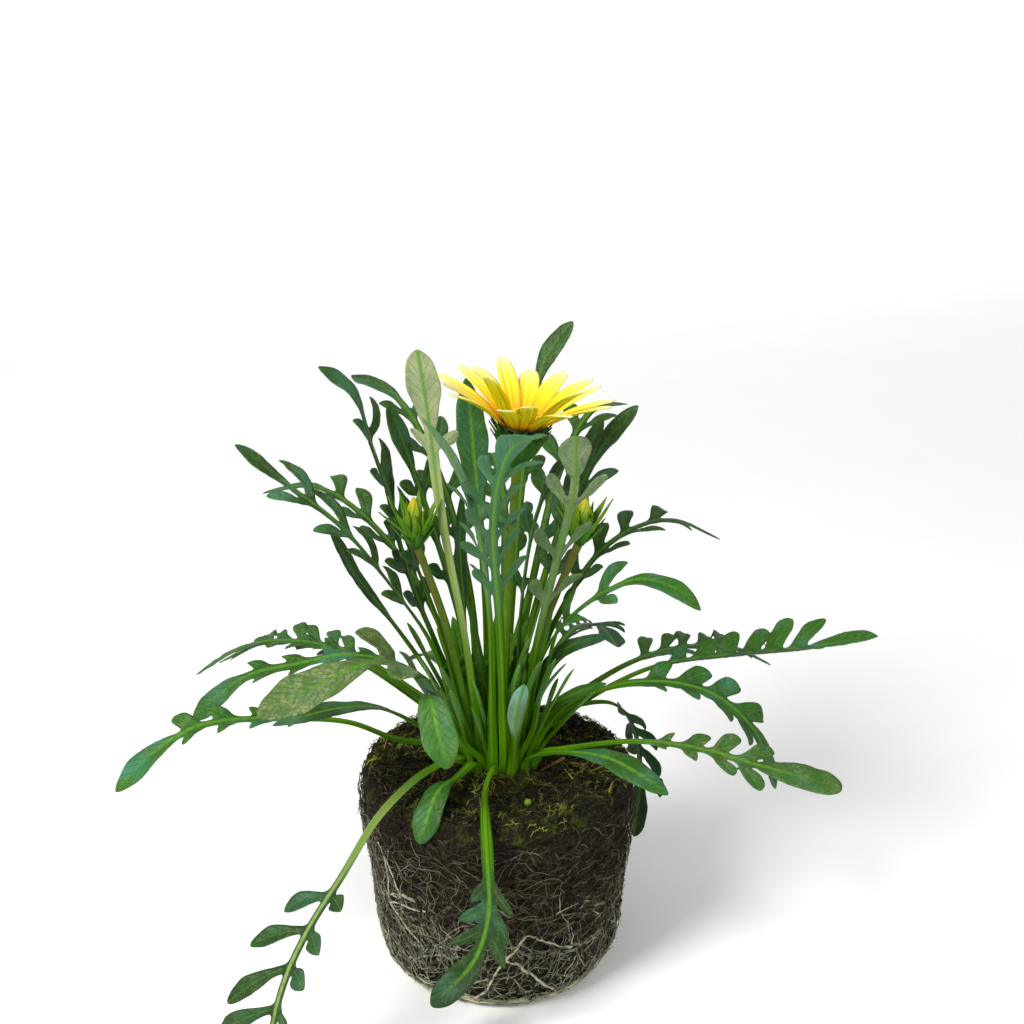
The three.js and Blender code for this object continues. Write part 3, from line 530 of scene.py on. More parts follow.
# %% Kinds of leaf
# A leaf's form, in millimetres and degrees, in this order:
# - pairs of lobes, the share of the rib that is bare below them, the lobes' length, the share of it that the
#   lowest have, and by what share the left ones are longer
# - the half widths of the stalk's foot and upper end, and of a lobe; the lobes' forward sweep, and the fold
# - the end lobe's length and half width, and the half width of the wings along the rib
# - the lobes' form: how wide the neck is, where they are widest, how round they end, how blunt the end lobe
#   is, and how far they curve towards the tip and droop
# - the looks: felt left on the upper side, lightness, felt below, and the strength of a painted blue sheen
# - the turn of the blade about its rib at its foot and tip, and the distance between points of its net
CUT = dict(
    pairs=5, bare=0.44, lobe=14, grow=0.75, uneven=0,
    stalk=2.05, throat=1.3, lobe_half=2.5, sweep=50, fold=14,
    end=24, end_half=4.4, wing=1.5,
    neck=0.5, widest=0.62, round=1.8, blunt=0.3, curve=0.1, droop=0.06,
    felt=0.3, tone=0.0, pale=0.15, bloom=0.1,
    roll=(0, 0), fine=0.69,
)
TOOTHED = {**CUT, **dict(
    bare=0.4, lobe=6, grow=0.8, lobe_half=1.7, sweep=40, fold=10, end=28, end_half=4.8, wing=1.9,
    neck=1.0, widest=0.25, round=1.3,
)}
PLAIN = {**CUT, **dict(pairs=0, lobe=0, lobe_half=0, fold=12, end=55, end_half=5.5)}

SOIL_LEVEL = 75.3
RING_RADII = [2.6, 6, 9.2, 12.2, 14.6]
FOOT_HEIGHT = 80.4
SUNK = -4.5


def foot_of(ring, turn):
    """Where a stalk stands on the crown, and the neck by which it rises before it leans away."""
    out = outward(math.radians(turn))
    foot = RING_RADII[ring] * out + [0, 0, FOOT_HEIGHT]
    return foot, foot + out + [0, 0, 4]


# %% The outline of a leaf laid flat


class Outline:
    """s runs up the rib from the foot, and t to the left of it, in millimetres."""

    def __init__(self, form, length):
        self.form, self.length = form, length
        self.end = length - form["end"]
        self.first = length * form["bare"] if form["pairs"] else self.end
        self.lobes = []
        pitch = (self.end - self.first) / max(form["pairs"], 1)
        for pair in range(form["pairs"]):
            middle = self.first + pitch * (pair + 0.45)
            share = (pair + 1) / (form["pairs"] + 1)
            for side in (1, -1):
                reach = form["lobe"] * (1 + side * form["uneven"] + 0.12 * math.sin(5 * pair + 2 * side))
                reach *= lerp(form["grow"], 1.05, share)
                sweep = math.radians(form["sweep"] + 6 * side * math.cos(3 * pair))
                half = min(form["lobe_half"], 0.3 * reach, 0.38 * pitch * math.sin(sweep))
                self.lobes.append((middle, side, reach, 1.1 * half, math.cos(sweep), math.sin(sweep)))

    def wide(self, s):
        """Half the width of the strip along the rib: stalk, wings, end lobe, and the sheath at the foot."""
        form = self.form
        flare = np.clip(s / self.first, 0, 1) ** max(1, form["throat"] - 1)
        stalk = lerp(form["stalk"], form["throat"] + 0.1, flare) + 0.3 * ease(-s, -3, 4)
        strip = lerp(stalk, form["wing"], ease(s, 0.6 * self.first, self.first))
        share = np.clip((s - self.end) / form["end"], 0, 1)
        swell = np.sin(np.pi * share ** (1.25 + 0.2 * form["blunt"]))
        bulge = np.maximum(swell, 0) ** (0.8 - 0.35 * form["blunt"])
        wavy = 1 + 0.05 * np.sin(s / 2.1 + form["turn"]) * bulge
        lobe = lerp(form["wing"] * (1 - share), form["end_half"], bulge) * wavy
        return np.where(s < self.end, strip, lobe)

    def lobe_parts(self, s, t):
        """For each lobe: the distance outside its edge, and the place up its vein and off it."""
        for middle, side, reach, half, ahead, aside in self.lobes:
            ds, dt = s - middle, side * t - self.wide(np.array([middle]))[0]
            up, off = ds * ahead + dt * aside, dt * ahead - ds * aside
            share = up / reach
            off = off + self.form["curve"] * reach * np.clip(share, 0, 1.2) ** 2
            grown = min(max((reach - 4) / 6, 0), 1)  # short lobes are pointed teeth, and long ones spoons
            neck, widest = lerp(1.15, self.form["neck"], grown), lerp(0.12, self.form["widest"], grown)
            bend = lerp(1.25, self.form["round"], grown)
            slim = half * lerp(neck, 1, ease(share, 0.02, widest))
            past = np.maximum(share - widest, 0) / (1 - widest)
            cap = (past**bend + (np.abs(off) / half) ** bend) ** (1 / bend) * half - half
            edge = np.where(share < widest, np.abs(off) - slim, cap)
            yield np.maximum(edge, -side * t), up, off, reach

    def edge(self, s, t):
        """Distance outside the leaf's edge, with the lobes melted into the strip, and its place on a lobe."""
        edge = np.maximum(np.abs(t) - self.wide(s), np.maximum(SUNK - s, s - self.length))
        place = np.zeros(s.shape + (3,))
        nearest = edge + 0.6
        for lobe_edge, up, off, reach in self.lobe_parts(s, t):
            melt = np.maximum(1.5 - np.abs(edge - lobe_edge), 0)
            edge = np.minimum(edge, lobe_edge) - melt**2 / 6
            closer = lobe_edge < nearest
            nearest = np.where(closer, lobe_edge, nearest)
            place[closer] = np.stack([up, off, np.full_like(up, reach)], -1)[closer]
        return edge, place


# %% A net of points cut to the outline


def cut_net(outline):
    """Points (s, t) and faces of the flat leaf, with the rim's points drawn onto the edge."""
    form = outline.form
    reach = max([form["end_half"], *(o[2] * o[5] + 3 + o[3] for o in outline.lobes)]) + 1
    fine = form["fine"]
    blade_start = min(outline.first, outline.length - 6) - 2
    s_lines = np.concatenate([
        np.linspace(SUNK, blade_start, max(6, int((blade_start - SUNK) / 2.2)))[:-1],
        np.arange(blade_start, outline.length + fine, fine),
    ])
    outer = np.arange(1.55, reach, fine)
    right = np.concatenate([[0.3, 0.65, 1.08], outer])
    t_lines = np.concatenate([-right[::-1], [0], right])
    s, t = np.meshgrid(s_lines, t_lines, indexing="ij")
    middle_s = (s[:-1, :-1] + s[1:, 1:]) / 2
    middle_t = (t[:-1, :-1] + t[1:, 1:]) / 2
    inside = outline.edge(middle_s, middle_t)[0] < 0
    faces = weave(*s.shape)[inside.ravel()]
    used, faces = np.unique(faces, return_inverse=True)
    faces = faces.reshape(-1, 4)
    flat = np.stack([s.ravel()[used], t.ravel()[used]], 1)

    edges = np.concatenate([faces[:, [i, (i + 1) % 4]] for i in range(4)])
    count = len(flat)
    keys = edges[:, 0] * count + edges[:, 1]
    back = edges[:, 1] * count + edges[:, 0]
    rim = edges[~np.isin(keys, back)]
    on_rim = np.zeros(count, bool)
    on_rim[rim.ravel()] = True

    for _ in range(4):
        rims = flat[on_rim]
        at = outline.edge(*rims.T)[0]
        step = 0.05
        slope = np.stack([
            outline.edge(rims[:, 0] + step, rims[:, 1])[0] - outline.edge(rims[:, 0] - step, rims[:, 1])[0],
            outline.edge(rims[:, 0], rims[:, 1] + step)[0] - outline.edge(rims[:, 0], rims[:, 1] - step)[0],
        ], 1) / (2 * step)
        move = -at[:, None] * slope / np.maximum((slope**2).sum(1), 0.3)[:, None]
        flat[on_rim] = rims + np.clip(move, -0.5, 0.5)

    # The points next to the rim settle between their neighbours
    near = np.zeros(count, bool)
    near[edges[on_rim[edges].any(1)].ravel()] = True
    near &= ~on_rim & (flat[:, 0] > blade_start)
    for _ in range(2):
        total, shares = np.zeros_like(flat), np.zeros(count)
        for a, b in ((0, 1), (1, 0)):
            np.add.at(total, edges[:, a], flat[edges[:, b]])
            np.add.at(shares, edges[:, a], 1)
        flat[near] = lerp(flat[near], (total / shares[:, None])[near], 0.6)
    return flat, faces, rim


# %% A leaf, grown into a piece


def grow_leaf(piece, seed, form, foot, neck, turn, way):
    """Bends a flat leaf along its way and adds it to a piece. seed gives the leaf its own draw."""
    route = Route([foot, neck, *way])
    outline = Outline(form, route.length)
    flat, faces, rim = cut_net(outline)
    s, t = flat.T
    edge, lobe_place = outline.edge(s, t)
    inward = ease(-edge, 0, 0.8)
    wide = outline.wide(s)
    blade = ease(s, 0.8 * outline.first, outline.first + 4)
    own = np.random.default_rng(seed)
    tone, felt = form["tone"] + own.uniform(-0.08, 0.1), form["felt"] * own.uniform(0.6, 1.3)

    # The rib's frame at each point
    centre, along = route.at(s)
    centre[:, :2] *= (1 + 0.09 * np.minimum(s, 0) / 4.5)[:, None]
    share = np.clip(s / route.length, 0, 1)
    stance = math.radians(turn)
    heading = math.atan2(way[-1][1] - foot[1], way[-1][0] - foot[0])
    swing = (heading - stance + math.pi) % (2 * math.pi) - math.pi
    facing = stance + swing * ease(share, 0, 0.3)
    left = np.stack([-np.sin(facing), np.cos(facing), np.zeros_like(s)], 1)
    across = unit(left - (left * along).sum(1)[:, None] * along)
    roll = np.radians(lerp(form["roll"][0], form["roll"][1], share))[:, None]
    across = across * np.cos(roll) + np.cross(along, across) * np.sin(roll)
    up = np.cross(along, across)

    # How far the blade lifts off the plane of its rib: the fold, waves along the edge, and the lobes' curl
    fold = math.tan(math.radians(form["fold"]))
    in_end = ease(s, outline.end - 3, outline.end + 3)
    beyond = np.maximum(np.abs(t) - wide, 0)
    lift = fold * lerp(beyond, 0.6 * np.abs(t), in_end)
    lift += blade * ease(np.abs(t), 0.8, 4) * 0.45 * lumps(np.stack([s, t, 0 * s + 40 * tone], 1), 7)
    up_lobe, off_vein, lobe_long = lobe_place.T
    far = np.clip(up_lobe / np.maximum(lobe_long, 1), 0, 1)
    curl = np.sin(1.7 * lobe_long + 3 * np.sign(t) + turn)
    bend = far**2 * lobe_long * (0.07 * curl - form["droop"]) * ease(beyond, 0, 1.5)
    keel = 0.4 * np.abs(off_vein) * ease(beyond, 0.4, 3)
    lift += np.where(lobe_long > 0, bend + keel, 0)
    lift -= 0.25 * blade * (1 - ease(-edge, 0, 1.2))

    # Thickness: thin at the edge, with the rib and the lobes' veins standing out below and a channel above
    rib_deep = np.interp(s, [0, outline.first, route.length], [1.25, 0.62, 0.12])
    rib_wide = np.interp(s, [0, outline.first, route.length], [1.15, 0.75, 0.4])
    rib = rib_deep * np.exp(-((t / rib_wide) ** 2))
    vein = np.where(lobe_long > 0, 0.2 * np.exp(-((off_vein / 0.4) ** 2)) * (1 - far), 0)
    channel = np.interp(s, [0, outline.first, route.length], [0.4, 0.25, 0.08]) * np.exp(-((t / 0.5) ** 2))
    above = 0.07 + 0.13 * inward + 0.25 * (1 - blade) * inward - channel * inward
    below = 0.07 + 0.13 * inward + (rib + vein) * inward

    middle = centre + across * t[:, None] + up * lift[:, None]
    points = np.concatenate([middle + up * above[:, None], middle - up * below[:, None]])
    count = len(flat)
    walls = np.stack([rim[:, 1], rim[:, 0], rim[:, 0] + count, rim[:, 1] + count], 1)
    past = (s - outline.first) / (route.length - outline.first)
    climb = np.where(s < outline.first, s / outline.first, 1 + past)
    which = np.repeat([0, 1, 1], [len(faces), len(faces), len(walls)])
    piece.add(
        points, np.concatenate([faces, faces[:, ::-1] + count, walls]), which,
        flat=np.tile(np.stack([s, t, 0 * s], 1), (2, 1)), lobe=np.tile(lobe_place, (2, 1)),
        along=np.tile(climb, 2), tone=np.full(2 * count, 0.25 + tone), felt=np.full(2 * count, felt),
        pale=np.full(2 * count, form["pale"]), bloom=np.full(2 * count, form["bloom"]),
    )


# %% Where the stalks run

# The ring and turn of each flower stalk's foot, and the way it takes
HEAD_STALKS = {
    "flower": (0, 0, [(2.5, 0, 101), (3.5, 0, 140), (5.5, 0, 172)]),
    "bud_left": (1, 212, [(-11, -6, 104), (-18, -9, 137)]),
    "bud_right": (1, 335, [(8, 0, 101), (17, 2, 132)]),
}
stalk_lines = []


def note_stalk(route):
    """Remembers where a stalk runs, for the young leaves that stand between them."""
    stalk_lines.append(route.at(np.arange(2, min(route.length, 80), 1.2))[0])


def leaf(name, kind, ring, turn, way, **changes):
    """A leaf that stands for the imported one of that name."""
    note_stalk(Route([*foot_of(ring, turn), *way]))
    form = {**kind, **changes, "turn": turn}
    piece = Piece(name + "_blade", "leaf_felt" if name == "leaf_tall" else "leaf", [LEAF_UPPER, LEAF_UNDER])
    seed = sum((i + 1) * ord(letter) for i, letter in enumerate(name))
    grow_leaf(piece, seed, form, *foot_of(ring, turn), turn, way)
    piece.make(replaces=name)


# %% The leaves of the front, the sides, the middle and the back
leaf("leaf_front_hanging", CUT, ring=4, turn=266, pairs=3, bare=0.53, lobe=13, grow=0.5,
     lobe_half=2.6, end=27, end_half=5, throat=3.2, wing=2, stalk=0.75, neck=1.0, widest=0.3,
     round=1.5, tone=-0.24, blunt=0.6,
     way=[(-4, -27, 82), (-4, -45, 82), (-3, -56, 70), (-3, -58, 50), (-8, -61, 35), (-22, -66, 21)])
leaf("leaf_front_left_trailing", CUT, ring=4, turn=221, pairs=4, bare=0.51, lobe=20, grow=0.5,
     uneven=-0.3, lobe_half=2.9, sweep=57, end=18, roll=(0, 15), pale=0.88, tone=-0.12, neck=0.4,
     widest=0.58, round=1.55, curve=0.06, blunt=0.6,
     way=[(-25, -24, 86), (-39, -41, 80), (-50, -61, 70), (-61, -79, 59), (-68, -93, 47),
          (-74, -108, 20)])
leaf("leaf_left_low", CUT, ring=4, turn=188, pairs=4, lobe=8, grow=0.4, end=28, end_half=4.8,
     roll=(0, -25), felt=0.3, tone=0.16, round=2.1, neck=0.9, bloom=0.7,
     way=[(-34, -8, 90), (-51, -12, 99), (-74, -18, 104), (-100, -25, 105), (-114, -29, 98),
          (-129, -33, 84)])
leaf("leaf_left_broad", CUT, ring=3, turn=223, pairs=2, bare=0.3, lobe=15, lobe_half=4.6, sweep=60,
     end=42, end_half=7.5, roll=(0, -25), felt=1.6, tone=0.14, round=2.1, neck=0.85, blunt=0.5,
     way=[(-22, -16, 109), (-31, -27, 128), (-41, -40, 136), (-57, -50, 133), (-76, -58, 126)])
leaf("leaf_left_strip", TOOTHED, ring=3, turn=184, pairs=4, end=24, roll=(0, -30), bloom=0.6, tone=0.1,
     way=[(-20, 0, 104), (-33, -1, 115), (-51, -2, 120), (-69, -3, 117), (-87, -5, 113),
          (-106, -8, 98)])
leaf("leaf_left_strap", PLAIN, ring=4, turn=205, end=45, end_half=5, bloom=0.4, tone=0.05,
     way=[(-27, -12, 98), (-40, -20, 109), (-52, -28, 113), (-74, -38, 112)])
leaf("leaf_front_folded", PLAIN, ring=3, turn=243, end=30, end_half=6.2, fold=4, felt=0.4,
     tone=0.24, blunt=0.6,
     way=[(-13, -22, 98), (-19, -30, 115), (-22, -38, 123), (-20, -47, 119), (-16, -53, 104)])
leaf("leaf_front_short", PLAIN, ring=4, turn=240, end=26, end_half=5.2, fold=8, felt=0.25,
     tone=0.08, blunt=0.8,
     way=[(-14, -22, 83), (-20, -33, 84), (-26, -45, 71)])
leaf("leaf_front_upright_blade", PLAIN, ring=4, turn=290, end=22, end_half=3.2, fold=20, pale=0.78,
     bloom=2.4, tone=0.25,
     way=[(6, -19, 97), (6, -22, 106), (9, -26, 121)])
leaf("leaf_right_long", CUT, ring=3, turn=20, pairs=6, lobe=15, grow=0.3, lobe_half=3, fold=30,
     end=24, end_half=4.8, tone=0.08, neck=0.8, bloom=0.5, droop=-0.05,
     way=[(22, 6, 91), (36, 9, 100), (57, 12, 109), (86, 13, 113), (114, 13, 116), (134, 13, 120)])
leaf("leaf_right_second", CUT, ring=3, turn=336, pairs=4, lobe=12, grow=0.5, lobe_half=3, fold=20,
     wing=2.4, roll=(0, 15), neck=0.8, tone=0.06, bloom=0.5,
     way=[(22, -4, 99), (42, -7, 111), (62, -10, 113), (76, -13, 109), (88, -17, 98), (96, -21, 78)])
leaf("leaf_right_lobed", CUT, ring=4, turn=330, pairs=4, lobe=14, grow=0.1, lobe_half=3.2, end=28,
     end_half=5.4, roll=(0, 20), felt=0.6, tone=0.14, round=2.1, neck=0.6, blunt=1.0,
     way=[(22, -16, 91), (48, -27, 100), (68, -36, 102), (90, -44, 99), (113, -50, 95)])
leaf("leaf_right_strap", PLAIN, ring=4, turn=310, end=40, end_half=4.8, roll=(0, 20),
     way=[(21, -24, 94), (38, -38, 99), (56, -52, 94)])
leaf("leaf_right_short", PLAIN, ring=3, turn=358, end=26, end_half=3, roll=(0, 20), bloom=0.8,
     tone=0.15,
     way=[(18, 0, 98), (27, 1, 103), (38, 2, 107)])
leaf("leaf_right_arch", CUT, ring=2, turn=355, pairs=2, lobe=13, end=30, end_half=3.6,
     roll=(0, 30), bloom=0.7, tone=0.15,
     way=[(14, -2, 116), (24, -5, 135), (36, -7, 146), (48, -10, 152), (60, -14, 150), (68, -17, 144)])
leaf("leaf_right_entire", PLAIN, ring=3, turn=40, end=34, end_half=3.2, roll=(0, 20), bloom=0.4,
     way=[(15, 10, 101), (23, 13, 114), (40, 16, 119)])
leaf("leaf_front_right_small", PLAIN, ring=3, turn=304, end=20, end_half=2.6,
     way=[(12, -12, 96), (15, -16, 112), (23, -22, 127)])
leaf("leaf_right_upright", CUT, ring=2, turn=40, pairs=3, lobe=13, end=26, end_half=3.8,
     roll=(0, 20), curve=0.2, droop=0.2, bloom=0.4,
     way=[(17, 14, 133), (27, 20, 169), (36, 23, 187), (48, 24, 202)])
leaf("leaf_right_round", CUT, ring=2, turn=318, pairs=3, lobe=15, lobe_half=2.1, sweep=46, end=15,
     end_half=5.3, roll=(0, -30), pale=0.72, felt=0.9, neck=0.45, curve=0.2, droop=0.2, blunt=1.0,
     way=[(13, -9, 126), (20, -17, 164), (25, -22, 190), (25, -26, 209)])
leaf("leaf_tall", CUT, ring=2, turn=236, pairs=1, bare=0.75, lobe=9, lobe_half=1.9, sweep=62,
     end=28, end_half=5.8, fold=6, wing=2.1, roll=(10, 55), pale=0.95, blunt=0.5, curve=0.2,
     way=[(-11, -8, 129), (-18, -10, 173), (-22, -13, 211), (-25, -16, 234.5)])
leaf("leaf_left_upper", CUT, ring=2, turn=200, pairs=4, lobe=13, end=22, end_half=4, roll=(0, -15),
     curve=0.2, droop=0.2, bloom=0.3,
     way=[(-20, 2, 129), (-34, 2, 171), (-41, 0, 195), (-47, -1, 215), (-58, -1, 224)])
leaf("leaf_left_feathered", CUT, ring=3, turn=203, pairs=4, lobe=17, end=22, end_half=3.4,
     sweep=42, roll=(0, -30), curve=0.2, droop=0.2, bloom=0.4,
     way=[(-21, -13, 127), (-34, -23, 155), (-50, -28, 179), (-65, -30, 193), (-82, -31, 208)])
leaf("leaf_front_curled", CUT, ring=3, turn=262, pairs=3, bare=0.46, lobe=13, lobe_half=1.9,
     sweep=40, end=36, end_half=3.3, pale=0.5, neck=0.5, curve=0.2, droop=0.25, bloom=0.4,
     way=[(-2, -13, 130), (-4, -18, 161), (-8, -22, 184), (-15, -28, 204), (-23, -31, 217)])
leaf("leaf_front_hooded", CUT, ring=3, turn=281, bare=0.48, lobe=16, lobe_half=1.8, sweep=45,
     fold=28, end=25, end_half=6.2, pale=0.3, neck=0.5, curve=0.2, droop=0.35, bloom=1.1, tone=0.2,
     blunt=0.6,
     way=[(1, -24, 140), (-1, -35, 180), (1, -42, 201), (6, -48, 214), (14, -57, 220)])
leaf("leaf_behind_flower", CUT, ring=2, turn=80, pairs=3, lobe=11, end=24, end_half=4,
     way=[(5, 22, 131), (10, 33, 184), (16, 39, 212), (26, 44, 226)])
leaf("leaf_middle_slim", CUT, ring=1, turn=20, pairs=2, lobe=10, end=24, end_half=3.4,
     way=[(8, 8, 134), (13, 9, 167), (19, 9, 182), (26, 9, 193)])
leaf("leaf_middle_dark", PLAIN, ring=1, turn=150, end=44, end_half=4.2, tone=-0.1,
     way=[(-10, 4, 107), (-12, 6, 138), (-13, 7, 158), (-12, 7, 176)])
leaf("leaf_left_dark", CUT, ring=2, turn=162, pairs=3, lobe=12, end=26, end_half=3.8, tone=-0.06,
     way=[(-18, 9, 108), (-31, 14, 144), (-37, 17, 171), (-39, 18, 191)])
leaf("leaf_left_lance", PLAIN, ring=3, turn=164, end=42, end_half=4.2, roll=(0, -20),
     way=[(-22, 6, 105), (-35, 5, 127), (-48, 3, 147), (-57, 1, 167)])
leaf("leaf_back_right_hanging", CUT, ring=4, turn=51, pairs=4, lobe=12, lobe_half=3, end=26,
     end_half=5, pale=0.0, tone=-0.1,
     way=[(28, 25, 86), (43, 34, 82), (51, 40, 68), (54, 42, 46), (52, 42, 20)])
leaf("leaf_back_right_long", CUT, ring=4, turn=33, lobe=13,
     way=[(30, 17, 96), (57, 34, 103), (84, 50, 98), (104, 62, 84)])
leaf("leaf_back_low", CUT, ring=4, turn=69, lobe=13, lobe_half=3, end=28, end_half=5.4,
     way=[(16, 34, 94), (28, 62, 99), (40, 88, 88), (48, 106, 70)])
leaf("leaf_back_hanging", CUT, ring=4, turn=103, pairs=4, lobe=12, lobe_half=3, end=28, end_half=5,
     way=[(-4, 30, 82), (-6, 47, 79), (-7, 58, 66), (-8, 62, 46), (-4, 66, 24)])
leaf("leaf_back_left_long", CUT, ring=4, turn=140, pairs=6, lobe=13,
     way=[(-30, 22, 93), (-56, 38, 102), (-84, 54, 98), (-108, 68, 82)])
leaf("leaf_back_left_low", TOOTHED, ring=4, turn=157, end=26,
     way=[(-34, 14, 98), (-60, 24, 110), (-88, 32, 108), (-112, 38, 92)])
leaf("leaf_back_right_arch", CUT, ring=3, turn=60, pairs=4, lobe=13,
     way=[(20, 23, 120), (38, 36, 144), (60, 48, 150), (82, 58, 138)])
leaf("leaf_back_tall_arch", CUT, ring=3, turn=80, pairs=4, lobe=13, end=26,
     way=[(12, 30, 132), (22, 50, 168), (34, 70, 184), (48, 90, 180)])
leaf("leaf_back_arch", CUT, ring=3, turn=100, lobe=13,
     way=[(2, 32, 124), (2, 54, 154), (-2, 78, 164), (-6, 100, 150)])
leaf("leaf_back_left_tall_arch", CUT, ring=3, turn=120, pairs=4, lobe=13,
     way=[(-10, 24, 132), (-21, 42, 170), (-36, 60, 192), (-54, 76, 196)])
leaf("leaf_back_left_arch", CUT, ring=3, turn=141, pairs=4, lobe=13, end=26,
     way=[(-22, 20, 124), (-42, 32, 152), (-64, 44, 164), (-86, 54, 158)])
leaf("leaf_back_upright", PLAIN, ring=2, turn=107, end=50, end_half=5.6,
     way=[(-4, 19, 130), (-8, 32, 174), (-11, 42, 206)])
leaf("leaf_back_left_upright", CUT, ring=2, turn=135, pairs=3, lobe=11,
     way=[(-14, 15, 128), (-26, 24, 168), (-38, 30, 200)])
leaf("leaf_back_right_upright", PLAIN, ring=1, turn=62, end=46, end_half=5,
     way=[(13, 17, 128), (25, 30, 164), (37, 42, 192)])
leaf("leaf_back_right_short", PLAIN, ring=4, turn=86, end=26, end_half=4.4,
     way=[(6, 26, 92), (9, 42, 98), (10, 58, 88)])
leaf("leaf_back_left_short", PLAIN, ring=4, turn=121, end=28, end_half=4.6,
     way=[(-14, 24, 92), (-24, 40, 99), (-34, 54, 90)])
print("leaves:", len(made), "with", sum(made.values()), "triangles")

# %% [markdown]
# ## Young leaves
# Between the grown leaves stand the youngest, short and slim, still bright and hardly cut. They fill the
# middle of the tuft, where the stalks crowd. They are too fine and too close for solids of their own, so
# they are grown here, by the same rules, from a seeded draw. A real leaf comes up where there is room, so
# each one here tries places near its own and takes the one with the widest gap to its neighbours.

# %% Finding room between the stalks


def young_way(ring, turn, tall, lean, sideways):
    """The foot, neck and way of a young leaf that stands at a turn on the crown."""
    out = outward(math.radians(turn))
    foot = ring * out + [0, 0, FOOT_HEIGHT]
    aside = np.array([-out[1], out[0], 0]) * sideways * tall
    way = [foot + out * lean * tall * 0.4 + aside * 0.3 + [0, 0, 0.5 * tall],
           foot + out * lean * tall + aside + [0, 0, tall]]
    return foot, foot + 0.6 * out + [0, 0, 4], way


def stalk_tree():
    """All the stalks' points, in an order that finds the nearest one quickly."""
    points = np.concatenate(stalk_lines)
    tree = kdtree.KDTree(len(points))
    for index, point in enumerate(points):
        tree.insert(point, index)
    tree.balance()
    return tree


def room(tree, foot, neck, way):
    """The gap between a young leaf's line, above its sheath, and the nearest stalk, in millimetres."""
    route = Route([foot, neck, *way])
    return min(tree.find(point)[2] for point in route.at(np.arange(4, route.length, 1.5))[0])


# %% The young leaves in the middle of the tuft
YOUNG_LEAVES = 36
GOLDEN_TURN = 137.5  # degrees from one leaf or floret to the next, as plants set them
YOUNG = {**PLAIN, **dict(
    stalk=1.5, throat=1.0, wing=1.1, fold=24, pale=0.1, felt=0.0, bloom=0.0, fine=1.15,
)}
for ring, turn, way in HEAD_STALKS.values():
    note_stalk(Route([*foot_of(ring, turn), *way]))
young = Piece("young_leaves", "leaf", [LEAF_UPPER, LEAF_UNDER])
for number in range(YOUNG_LEAVES):
    turn = number * GOLDEN_TURN + dice.uniform(-12, 12)
    ring = 2.5 + 11 * math.sqrt((number + 0.5) / YOUNG_LEAVES)
    in_front = math.sin(math.radians(turn)) < -0.5
    tall = dice.uniform(20, 40) + (20 if in_front else 45) * (1 - ring / 14)
    lean = dice.uniform(0.05, 0.2) + 0.03 * ring * dice.uniform(0.4, 1.1)
    sideways = dice.uniform(-0.15, 0.15)
    form = {**YOUNG, "end": dice.uniform(0.3, 0.5) * tall, "end_half": dice.uniform(1.1, 2.1),
            "tone": dice.uniform(0.0, 0.3), "roll": (0, dice.uniform(-25, 25))}
    if number % 3 == 0 and not in_front:
        form.update(pairs=2, bare=0.45, lobe=5, lobe_half=1.2, end=0.35 * tall)
    choices = [(turn + shift, young_way(ring + step, turn + shift, tall, lean * more, sideways + slant))
               for shift in range(-35, 36, 5) for step in (-1.2, 0, 1.2) for more in (0.8, 1.1, 1.5)
               for slant in (-0.15, 0, 0.15)]
    tree = stalk_tree()
    turn, (foot, neck, way) = max(choices, key=lambda choice: room(tree, *choice[1]))
    grow_leaf(young, number, {**form, "turn": turn}, foot, neck, turn, way)
    note_stalk(Route([foot, neck, *way]))
young.make()

# %% [markdown]
# ## The root ball
# The peat has taken the pot's shape. Its flank is dark, crumbly and full of fine brown fibres, and pale roots
# run round it where they met the pot's wall, few at the top and a close net near the bottom. At the very
# bottom they lie matted in a pale ring.
# The peat is a turned form pushed in and out by noise. The roots are real tubes laid along wandering tracks
# on the flank, because they cast the small shadows that make the net read as a net.

# %% Paint for peat and roots
peat_paint = Paint("peat", Roughness=0.95, Specular_IOR_Level=0.12)
crumb = peat_paint.cloud(1.3, detail=5.0, rough=0.7)
threads = peat_paint.add("TexNoise", {
    "Vector": peat_paint.scaled(peat_paint.place, (600, 600, 1200)), "Scale": 1.0, "Detail": 5.0,
    "Distortion": 1.5,
}).outputs["Fac"]
mixed = peat_paint.times(threads, 0.5, peat_paint.times(crumb, 0.5))
brown = peat_paint.ramp(mixed, [
    (0.34, 12, 10, 7), (0.47, 32, 28, 20), (0.58, 62, 55, 40), (0.72, 116, 104, 80),
])
rusty = peat_paint.band(peat_paint.cloud(9, detail=2.0), 0.56, 0.76)
brown = peat_paint.tint(brown, rusty, 0.4, srgb(74, 44, 26))
PEAT = peat_paint.finish(brown, peat_paint.math("ADD", crumb, threads), 1.6)

root_paint = Paint("roots", Roughness=0.7, Specular_IOR_Level=0.3, Subsurface_Weight=0.1,
                   Subsurface_Scale=0.001)
stain = root_paint.times(root_paint.cloud(2.6, detail=4.0), 0.7, root_paint.stored("tone"))
pale = root_paint.ramp(stain, [
    (0.3, 54, 52, 38), (0.5, 96, 95, 76), (0.72, 143, 145, 124), (0.98, 190, 188, 152),
])
ROOTS = root_paint.finish(pale, root_paint.cloud(0.5, detail=2.0), 0.15)

# %% The peat
BALL_HEIGHT = 75
MIDDLE_RADIUS = 44  # turns a length along the flank into a turn round it
BALL_PROFILE = np.array([
    (0, 35), (2.5, 38.5), (10, 41.8), (26, 43.8), (42, 45.6), (58, 47.4), (70, 48.8), (75, 46.5),
])


